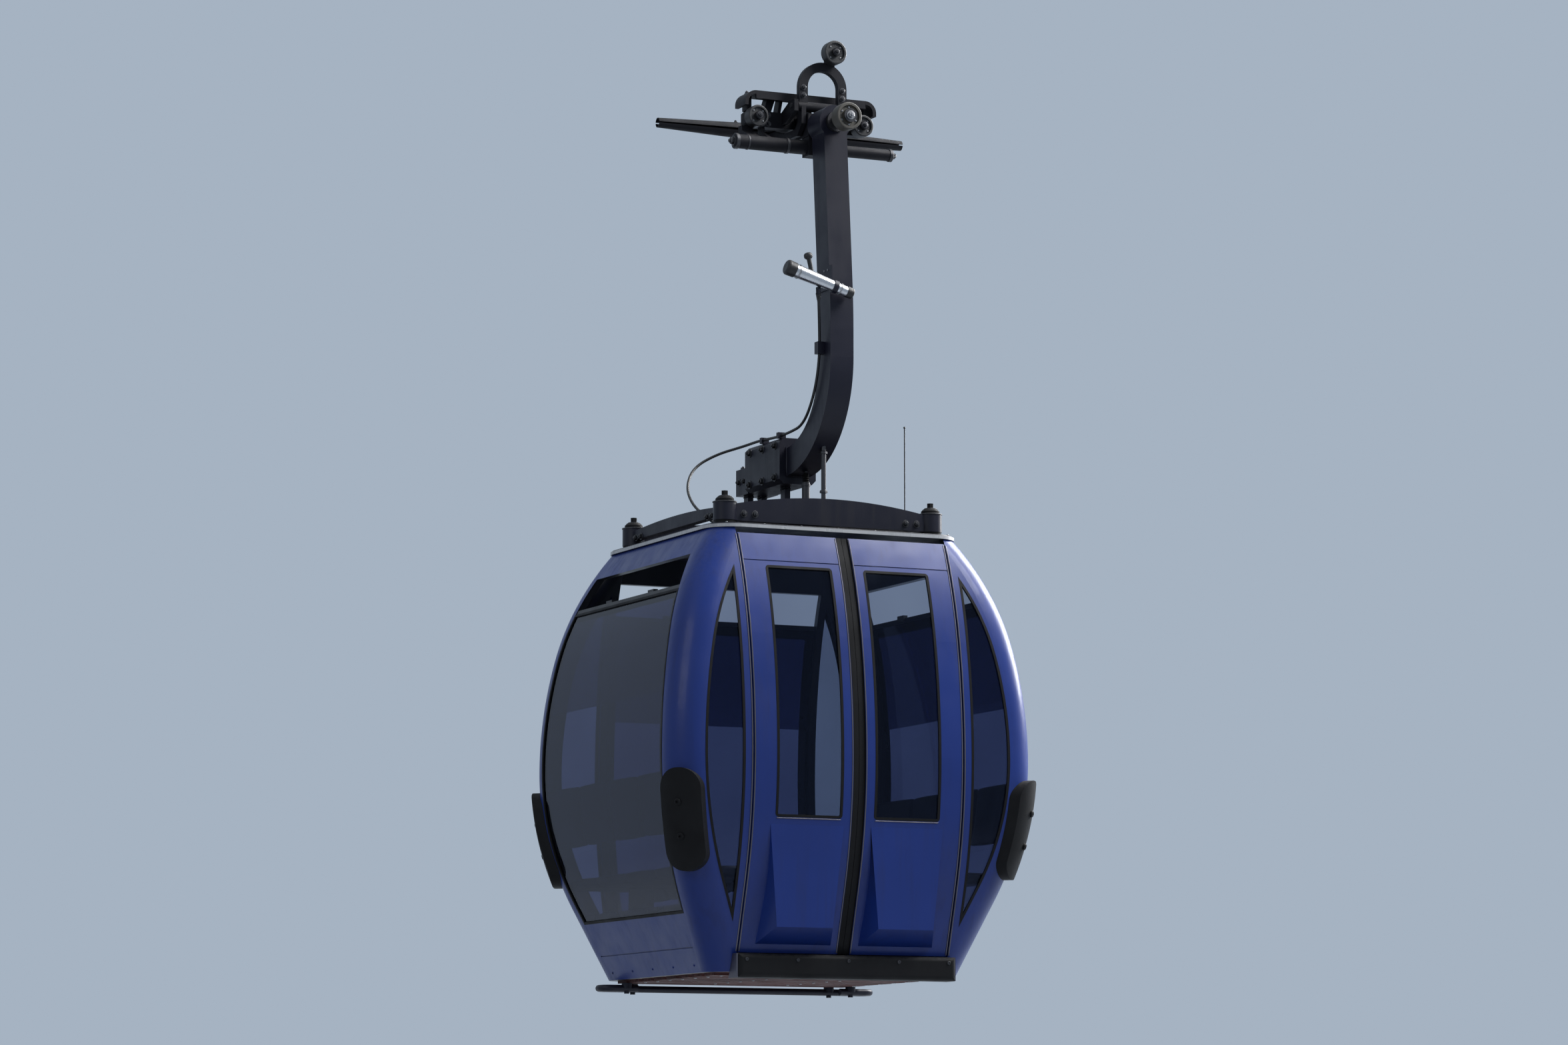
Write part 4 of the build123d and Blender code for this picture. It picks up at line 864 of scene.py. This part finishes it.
# Profile of the ribbed, tapered sleeve at each end of the lead: radius, distance along it
SLEEVE = (
    (0, 0), (0.0135, 0), (0.0135, 0.007), (0.0105, 0.009), (0.012, 0.011), (0.012, 0.015), (0.0098, 0.017),
    (0.0112, 0.019), (0.0108, 0.023), (0.0092, 0.025), (0.0102, 0.027), (0.0096, 0.033), (0.008, 0.035),
    (0.008, 0.042), (0.0068, 0.044), (0, 0.044))


class Lead(bpy.types.Operator):
    """Runs the free lead from the unit on the arm to the box on the roof"""
    bl_idname = "cabin.lead"
    bl_label = "Lead"

    def execute(self, context):
        curve = round_curve("lead_line", looks().lead_diameter / 2, 4)
        curve.resolution_u = 10
        line = curve.splines.new("NURBS")
        line.points.add(len(LEAD_ROUTE) - 1)
        for point, corner in zip(line.points, LEAD_ROUTE):
            point.co = (*place(*corner), 1)
        line.order_u = 3
        line.use_endpoint_u = True
        made = dressed("lead_line", curve, "Lead sheath", "cabin")
        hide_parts("lead")
        shape = bmesh.new()
        for first, second in ((LEAD_ROUTE[0], LEAD_ROUTE[1]), (LEAD_ROUTE[-1], LEAD_ROUTE[-2])):
            add_turned(shape, place(*first), place(*second) - place(*first), SLEEVE, 20)
        piece("lead_reliefs", shape, "Black moulding", "cabin", 30)
        return {"FINISHED"}


TONGUE_PLACES = (-0.25, -0.18, 0.18, 0.25)
BEAM_PLACES = (-0.47, -0.41, 0.41, 0.47)
PANEL_PLACES = (-0.5, -0.25, 0, 0.25, 0.5)
# Fasteners, by piece: head, finish, and rows of width, node they stand on, x, y and z of where the line to each
# place starts, and the way that line runs. Each x of a row goes with each of its y and z.
FASTENERS = {
    "grip_bolts": (add_bolt, "Dark steel", (
        (0.017, "running_plate", (-0.311, -0.2, 0.236, 0.311), (-0.272,), (0.4,), DOWN),
        (0.017, "grip_body", (-0.205, 0.205), (-0.6,), (-0.022, 0.022), AHEAD),
        (0.02, "fixed_jaw", (-0.095, 0, 0.095), (-0.13,), (0.4,), DOWN),
        (0.013, "upper_tongues", TONGUE_PLACES, (0,), (0.4,), DOWN),
        (0.03, "torsion_bars", (-1,), (-0.416,), (-0.152,), RIGHTWARD),
        (0.026, "torsion_bars", (1,), (-0.416,), (-0.152,), LEFTWARD),
        (0.02, "grip_body", (-0.29, 0.29), (-0.6,), (0,), AHEAD))),
    "lever_bolts": (add_bolt, "Dark steel", (
        (0.013, "lower_tongues", TONGUE_PLACES, (0,), (-0.4,), UP),
        (0.018, "clamp_lever", (-0.075, 0.139), (-0.8,), (0.11, 0.15), AHEAD),
        (0.018, "clamp_lever", (0.074,), (-0.8,), (0.33,), AHEAD))),
    "pivot_nut": (add_bolt, "Bare steel", (
        (0.026, "pivot_pin", (0,), (-1.5,), (-0.06,), AHEAD),)),
    "hanger_bolts": (add_bolt, "Dark steel", (
        (0.026, "foot_clamp", (-1,), (-0.15, 0, 0.15), (-1.783, -1.622), RIGHTWARD),
        (0.026, "foot_clamp", (1,), (-0.15, 0, 0.15), (-1.783, -1.622), LEFTWARD),
        (0.022, "foot_clamp", (-1,), (0.25, 0.315), (-1.75,), RIGHTWARD),
        (0.022, "foot_clamp", (1,), (0.25, 0.315), (-1.75,), LEFTWARD),
        (0.022, "foot_clamp", (-0.06, 0.06), (0.26, 0.32), (-1.4,), DOWN))),
    "frame_bolts": (add_bolt, "Dark steel", (
        (0.022, "roof_frame", BEAM_PLACES, (-1,), (-2.04,), AHEAD),
        (0.022, "roof_frame", BEAM_PLACES, (1,), (-2.04,), BACK),
        (0.022, "roof_frame", (-1,), BEAM_PLACES, (-2.04,), RIGHTWARD),
        (0.022, "roof_frame", (1,), BEAM_PLACES, (-2.04,), LEFTWARD))),
    "box_screws": (add_screw, "Dark steel", (
        (0.009, "junction_box", (-0.434, -0.378), (-0.291, -0.237), (-1.9,), DOWN),)),
    "roof_screws": (add_screw, "Bare steel", (
        (0.013, "roof", (-0.6, -0.4, -0.2, 0, 0.2, 0.4, 0.6), (-0.672, 0.672), (-1.8,), DOWN),
        (0.013, "roof", (-0.645, 0.645), (-0.55, -0.275, 0, 0.275, 0.55), (-1.8,), DOWN))),
    "floor_screws": (add_screw, "Bare steel", (
        (0.014, "floor", (-0.58, -0.2, 0.2, 0.58), (-0.57, -0.418, -0.266, -0.114, 0.038, 0.19, 0.342),
         (-5,), UP),)),
    "sill_screws": (add_screw, "Dark steel", (
        (0.018, "sill_bumper", (-0.54, -0.27, 0, 0.27, 0.54), (-1.5,), (-4.212,), AHEAD),)),
    "unit_screws": (add_screw, "Bare steel", (
        (0.01, "unit_bracket", (-1,), (-0.7, -0.66), (-0.82, -0.9), RIGHTWARD),)),
    "bumper_plugs": (add_screw, "Black rubber", tuple(
        (0.034, "corner_bumpers", (x,), (y,), (-3.64, -3.48), (-x, -y, 0))
        for y in (-1.86, 1.86) for x in (-2, 2))),
    "panel_rivets": (add_screw, "Cabin paint", (
        (0.011, "end_panel_left", (-2,), PANEL_PLACES, (-4.235,), RIGHTWARD),
        (0.011, "end_panel_right", (2,), PANEL_PLACES, (-4.235,), LEFTWARD),
        (0.011, "rear_panel", PANEL_PLACES, (2,), (-4.235,), BACK))),
}
# Screws in a ring on a roller's web: piece, node, middle of the ring, radius, count, width
WEB_SCREWS = (
    ("outer_wheel_screws", "outer_roller", (0, -0.06), 0.043, 6, 0.011),
    ("inner_wheel_left_screws", "inner_roller_left", (-0.29, 0), 0.036, 4, 0.009),
    ("inner_wheel_right_screws", "inner_roller_right", (0.29, 0), 0.036, 4, 0.009),
    ("lever_wheel_screws", "lever_roller", (0.074, 0.33), 0.038, 4, 0.009),
)


class Fasteners(bpy.types.Operator):
    """Sets every bolt, screw and rivet on the surface that it holds"""
    bl_idname = "cabin.fasteners"
    bl_label = "Bolts, screws and rivets"

    def execute(self, context):
        for name, (head, surface, rows) in FASTENERS.items():
            shape = bmesh.new()
            for width, holder, xs, ys, zs, way in rows:
                for start in itertools.product(xs, ys, zs):
                    head(shape, *met(holder, start, way), width)
            piece(name, shape, surface, ridden_by(rows[0][1]), 30)
        for name, holder, (x, z), radius, count, width in WEB_SCREWS:
            shape = bmesh.new()
            for step in range(count):
                turn = math.tau * (step + 0.5) / count
                start = (x + radius * math.cos(turn), -1, z + radius * math.sin(turn))
                add_screw(shape, *met(holder, start, AHEAD), width)
            piece(name, shape, "Bare steel", ridden_by(holder), 30)
        return {"FINISHED"}


# The tubular unit on the arm: the way it points, its middle, and how far from there its rings sit
TUBE_WAY = Vector((math.cos(math.radians(17)), 0, -math.sin(math.radians(17))))
TUBE_MIDDLE = place(-0.145, -0.762, 3.382)
RING_REACH = TUBE_WAY * 0.118
# Collars and rings, by piece: finish, slot, node they ride with, and rows of middle, axis, inner radius, outer
# radius and width
COLLARS = {
    "torsion_collars": ("Dark steel", "pin_steel", "torsion_bars", tuple(
        ((x, -0.416, -0.152), RIGHTWARD, inner, outer, width) for x, inner, outer, width in (
            (-0.436, 0.034, 0.0395, 0.018),
            (-0.375, 0.034, 0.0385, 0.008),
            (-0.16, 0.034, 0.0395, 0.014),
            (0.412, 0.027, 0.0325, 0.018),
            (0.14, 0.027, 0.0325, 0.014)))),
    "aerial_base": ("Black moulding", "black_plastic", "aerial", (
        ((0.508, -0.38, -2.072), UP, 0.004, 0.021, 0.012),
        ((0.508, -0.38, -2.06), UP, 0.002, 0.0125, 0.016))),
    "unit_rings": ("Bare steel", "pin_steel", "unit_tube", (
        (TUBE_MIDDLE - RING_REACH, TUBE_WAY, 0.030, 0.0362, 0.010),
        (TUBE_MIDDLE + RING_REACH, TUBE_WAY, 0.024, 0.0292, 0.008))),
    "buffer_washers": ("Dark steel", "pin_steel", "roof_buffers", tuple(
        (place(x, y, height), UP, 0.012, outer, width)
        for x in (-0.56, 0.56) for y in (-0.56, 0.56)
        for height, outer, width in ((2.3155, 0.03, 0.005), (2.286, 0.0605, 0.006)))),
}


class Collars(bpy.types.Operator):
    """Puts the collars, rings and washers round tubes, the aerial and the buffers"""
    bl_idname = "cabin.collars"
    bl_label = "Collars and rings"

    def execute(self, context):
        for name, (surface, slot, holder, rows) in COLLARS.items():
            shape = bmesh.new()
            for row in rows:
                add_ring(shape, *row)
            piece(name, shape, surface, ridden_by(holder), 30)
        return {"FINISHED"}


DAMPER_TOP = (0, -0.3, -1.832)
# Profile of the rubber bellows over the damper's rod: radius, height
BELLOWS = ((0, 0), (0.018, 0), (0.018, 0.006)) + tuple(
    (0.0185 if fold % 2 else 0.0125, 0.008 + 0.0045 * fold) for fold in range(11)) + ((0.0115, 0.06), (0, 0.06))
# Rings on the damper: middle, axis, inner radius, outer radius, width
DAMPER_RINGS = (
    ((0, -0.3, -1.835), UP, 0.018, 0.0225, 0.012),
    ((0, -0.3, -1.955), UP, 0.018, 0.0235, 0.01),
)
# Nuts on the stay: their places, width across the flats, height
STAY_NUTS = ((0, -0.505, -1.962), (0, -0.505, -1.9), (0, -0.505, -1.705))
NUT_WIDTH = 0.034
NUT_HEIGHT = 0.014
# The aerial's spring: its foot, radius, radius of the wire, corners, and turn and rise from corner to corner
AERIAL_FOOT = Vector((0.508, -0.38, -2.052))
COIL_RADIUS = 0.0058
COIL_WIRE = 0.0017
COIL_CORNERS = 74
COIL_TURN = 0.6
COIL_RISE = 0.00052
# The unit's knob: line and radius of its stem, and profile of the knob as radius, height
STEM = (Vector((-0.186, -0.762, -0.855)), Vector((-0.193, -0.762, -0.818)), Vector((-0.203, -0.762, -0.778)))
STEM_RADIUS = 0.0115
KNOB = (
    (0, -0.008), (0.014, -0.008), (0.0205, -0.002), (0.022, 0.006), (0.0205, 0.016), (0.013, 0.023), (0, 0.025))


class SmallParts(bpy.types.Operator):
    """Adds the damper's bellows, the stay's nuts, the aerial's spring and the knob on the unit"""
    bl_idname = "cabin.small_parts"
    bl_label = "Bellows, nuts, spring and knob"

    def execute(self, context):
        shape = bmesh.new()
        add_turned(shape, DAMPER_TOP, UP, BELLOWS)
        piece("damper_bellows", shape, "Black rubber", "cabin", 50)
        shape = bmesh.new()
        for spot in STAY_NUTS:
            add_hexagon(shape, spot, UP, NUT_WIDTH, NUT_HEIGHT)
        for ring in DAMPER_RINGS:
            add_ring(shape, *ring)
        piece("stay_nuts", shape, "Dark steel", "cabin", 30)
        coil = []
        for corner in range(COIL_CORNERS):
            turn = corner * COIL_TURN
            coil.append(AERIAL_FOOT + Vector((
                COIL_RADIUS * math.cos(turn), COIL_RADIUS * math.sin(turn), corner * COIL_RISE)))
        bars("aerial_spring", [coil], COIL_WIRE, "Dark steel", "cabin")
        bars("unit_stem", [STEM], STEM_RADIUS, "Black moulding", "cabin")
        shape = bmesh.new()
        add_turned(shape, STEM[2], STEM[2] - STEM[1], KNOB)
        piece("unit_knob", shape, "Black moulding", "cabin", 40)
        return {"FINISHED"}


# Weld beads: node, a point of the plane that the bead lies in, the plane's normal, bead radius
WELDS = (
    ("foot_posts", (0, 0, -1.967), UP, 0.0045),
    ("foot_posts", (0, 0, -1.825), UP, 0.004),
    ("hanger_arm", (0, -0.208, 0), AHEAD, 0.006),
)
# Corners of a bead stand at least this far apart
SHORTEST_RUN = 0.002


def spot_of(corner):
    """Where a corner is, rounded: corners are put in order by it, so that each run gives the same lines."""
    return tuple(round(part, 5) for part in corner.co)


def cut_lines(name, point, normal):
    """The lines in which a plane cuts a node, each closed by its first point."""
    shape = merged(name)
    cut = bmesh.ops.bisect_plane(shape, geom=shape.verts[:] + shape.edges[:] + shape.faces[:],
                                 plane_co=point, plane_no=normal)
    left = {part for part in cut["geom_cut"] if isinstance(part, bmesh.types.BMEdge)}
    lines = []
    while left:
        edge = min(left, key=lambda edge: sorted(map(spot_of, edge.verts)))
        left.remove(edge)
        first, corner = sorted(edge.verts, key=spot_of)
        line = [first.co.copy(), corner.co.copy()]
        while edge:
            edge = next((other for other in corner.link_edges if other in left), None)
            if edge:
                left.remove(edge)
                corner = edge.other_vert(corner)
                line.append(corner.co.copy())
        kept = line[:1]
        for corner in line[1:-1]:
            if min((corner - other).length for other in (kept[-1], line[-1])) > SHORTEST_RUN:
                kept.append(corner)
        lines.append(kept + line[-1:])
    shape.free()
    return lines


class Welds(bpy.types.Operator):
    """Runs weld beads round the posts and the arm where they meet the parts that hold them"""
    bl_idname = "cabin.welds"
    bl_label = "Weld beads"

    def execute(self, context):
        for count, (name, point, normal, radius) in enumerate(WELDS, 1):
            lines = cut_lines(name, point, normal)
            bars(f"weld_{count}", lines, radius, "Hanger paint", ridden_by(name))
        return {"FINISHED"}


# Studio

# The camera stands this many degrees round from the doors and below the part; the view is this high there
CAMERA_AZIMUTH = -25.0
CAMERA_CLIMB = 7.5
CAMERA_DISTANCE = 25.0
AIM = Vector((0.02, 0, -1.985))
VIEW_HEIGHT = 5.25
PICTURE_SHAPE = 1.5
SENSOR_WIDTH = 36
# Lamps: name, place, width, height, power
LAMPS = (
    ("Key lamp", (7.2, -5.8, 7.0), 5.0, 5.0, 1300),
    ("Left lamp", (-9.0, -5.0, 2.0), 5.0, 5.0, 110),
    ("Right rim lamp", (9.8, 2.6, 3.2), 5.0, 8.0, 2300),
    ("Top lamp", (2.6, -1.4, 5.6), 3.4, 3.4, 200),
)
# What shows behind the part, and the light that falls on it from all round
SURROUNDINGS = (0.38, 0.45, 0.54, 1)
SKY_LIGHT = (0.8, 0.9, 1.0, 1)
SKY_STRENGTH = 0.3
# The floor: half its width, its shade where it lights the part and where it shows, and where it starts and ends
# to fade into the surroundings
FLOOR_REACH = 300
FLOOR_LIGHTING = (0.16, 0.165, 0.175, 1)
FLOOR_SHOWING = (0.48, 0.52, 0.57, 1)
FLOOR_FADES = (3.5, 16.0)


def backdrop_shows(tree):
    """1 for what the camera sees directly, through glass or mirrored, else 0."""
    path = node(tree, "ShaderNodeLightPath").outputs
    direct = maths(tree, "MAXIMUM", path["Is Camera Ray"], path["Is Transmission Ray"])
    return maths(tree, "MAXIMUM", direct, path["Is Glossy Ray"])


class Studio(bpy.types.Operator):
    """Builds the floor, the lamps, the pale surroundings and the camera"""
    bl_idname = "cabin.studio"
    bl_label = "Studio"

    def execute(self, context):
        scene = context.scene
        self.floor(scene)
        self.surroundings(scene)
        for name, spot, width, height, power in LAMPS:
            lamp = bpy.data.lights.new(name, "AREA")
            lamp.shape = "RECTANGLE"
            lamp.size = width
            lamp.size_y = height
            lamp.energy = power
            made = bpy.data.objects.new(name, lamp)
            made.location = spot
            made.rotation_euler = (AIM - Vector(spot)).to_track_quat("-Z", "Y").to_euler()
            scene.collection.objects.link(made)
        self.camera(scene)
        scene.view_settings.view_transform = "Standard"
        return {"FINISHED"}

    def floor(self, scene):
        """A matt floor, unseen from below, that fades into the surroundings so that no horizon shows."""
        shape = bmesh.new()
        bmesh.ops.create_grid(shape, x_segments=1, y_segments=1, size=FLOOR_REACH,
                              matrix=Matrix.Translation((0, 0, -looks().floor_drop)))
        made = bpy.data.objects.new("Floor", mesh_of("Floor", shape))
        scene.collection.objects.link(made)
        ground, tree, surface = new_material("Studio floor")
        shade = blend(tree, backdrop_shows(tree), FLOOR_LIGHTING, FLOOR_SHOWING)
        feed(tree, surface, {"Roughness": 0.9, "Base Color": shade})
        reach = node(tree, "ShaderNodeVectorMath", {0: place_on(tree)}, operation="LENGTH")
        distant = product(tree, spread(tree, reach.outputs["Value"], *FLOOR_FADES), backdrop_shows(tree))
        haze = node(tree, "ShaderNodeEmission", {"Color": SURROUNDINGS})
        faded = layered(tree, distant, surface.outputs[0], haze.outputs[0])
        below = product(tree, node(tree, "ShaderNodeNewGeometry").outputs["Backfacing"],
                        node(tree, "ShaderNodeLightPath").outputs["Is Camera Ray"])
        clear = node(tree, "ShaderNodeBsdfTransparent")
        feed(tree, tree.nodes["Material Output"], {"Surface": layered(tree, below, faded, clear.outputs[0])})
        made.data.materials.append(ground)

    def surroundings(self, scene):
        """Soft light from all round, and the pale background that shows."""
        scene.world = bpy.data.worlds.new("Pale surroundings")
        scene.world.use_nodes = True
        tree = scene.world.node_tree
        lit = node(tree, "ShaderNodeBackground", {"Color": SKY_LIGHT, "Strength": SKY_STRENGTH})
        seen = node(tree, "ShaderNodeBackground", {"Color": SURROUNDINGS, "Strength": 1.0})
        mixed = layered(tree, backdrop_shows(tree), lit.outputs[0], seen.outputs[0])
        feed(tree, tree.nodes["World Output"], {"Surface": mixed})

    def camera(self, scene):
        """The camera of the photograph: far off and a little below the part."""
        turn = math.radians(CAMERA_AZIMUTH)
        climb = math.radians(CAMERA_CLIMB)
        back = Vector((math.sin(turn) * math.cos(climb), -math.cos(turn) * math.cos(climb), -math.sin(climb)))
        data = bpy.data.cameras.new("Camera")
        data.sensor_width = SENSOR_WIDTH
        data.lens = SENSOR_WIDTH / PICTURE_SHAPE * CAMERA_DISTANCE / VIEW_HEIGHT
        data.clip_end = 1000
        made = bpy.data.objects.new("Camera", data)
        made.location = AIM + back * CAMERA_DISTANCE
        made.rotation_euler = (-back).to_track_quat("-Z", "Y").to_euler()
        scene.collection.objects.link(made)
        scene.camera = made


OPERATORS = (FinishNodes, Gaskets, DoorTrim, RoofTrim, SillTrim, Cushions, Lead, Fasteners, Collars,
             SmallParts, Welds, Studio)


class CabinPanel(bpy.types.Panel):
    """Lists the cabin's operators and sizes"""
    bl_idname = "CABIN_PT_panel"
    bl_label = "Cable Car Cabin"
    bl_space_type = "VIEW_3D"
    bl_region_type = "UI"
    bl_category = "Cabin"

    def draw(self, context):
        for operator in OPERATORS:
            self.layout.operator(operator.bl_idname)
        for name in CabinLooks.__annotations__:
            self.layout.prop(looks(), name)


CLASSES = (CabinLooks, *OPERATORS, CabinPanel)


def register():
    for kind in CLASSES:
        bpy.utils.register_class(kind)
    bpy.types.Scene.cabin_looks = bpy.props.PointerProperty(type=CabinLooks)


def unregister():
    del bpy.types.Scene.cabin_looks
    for kind in reversed(CLASSES):
        bpy.utils.unregister_class(kind)


def main():
    register()
    bpy.ops.cabin.finish_nodes()
    bpy.ops.cabin.gaskets()
    bpy.ops.cabin.door_trim()
    bpy.ops.cabin.roof_trim()
    bpy.ops.cabin.sill_trim()
    bpy.ops.cabin.cushions()
    bpy.ops.cabin.lead()
    bpy.ops.cabin.fasteners()
    bpy.ops.cabin.collars()
    bpy.ops.cabin.small_parts()
    bpy.ops.cabin.welds()
    bpy.ops.cabin.studio()


if __name__ == "__main__":
    main()
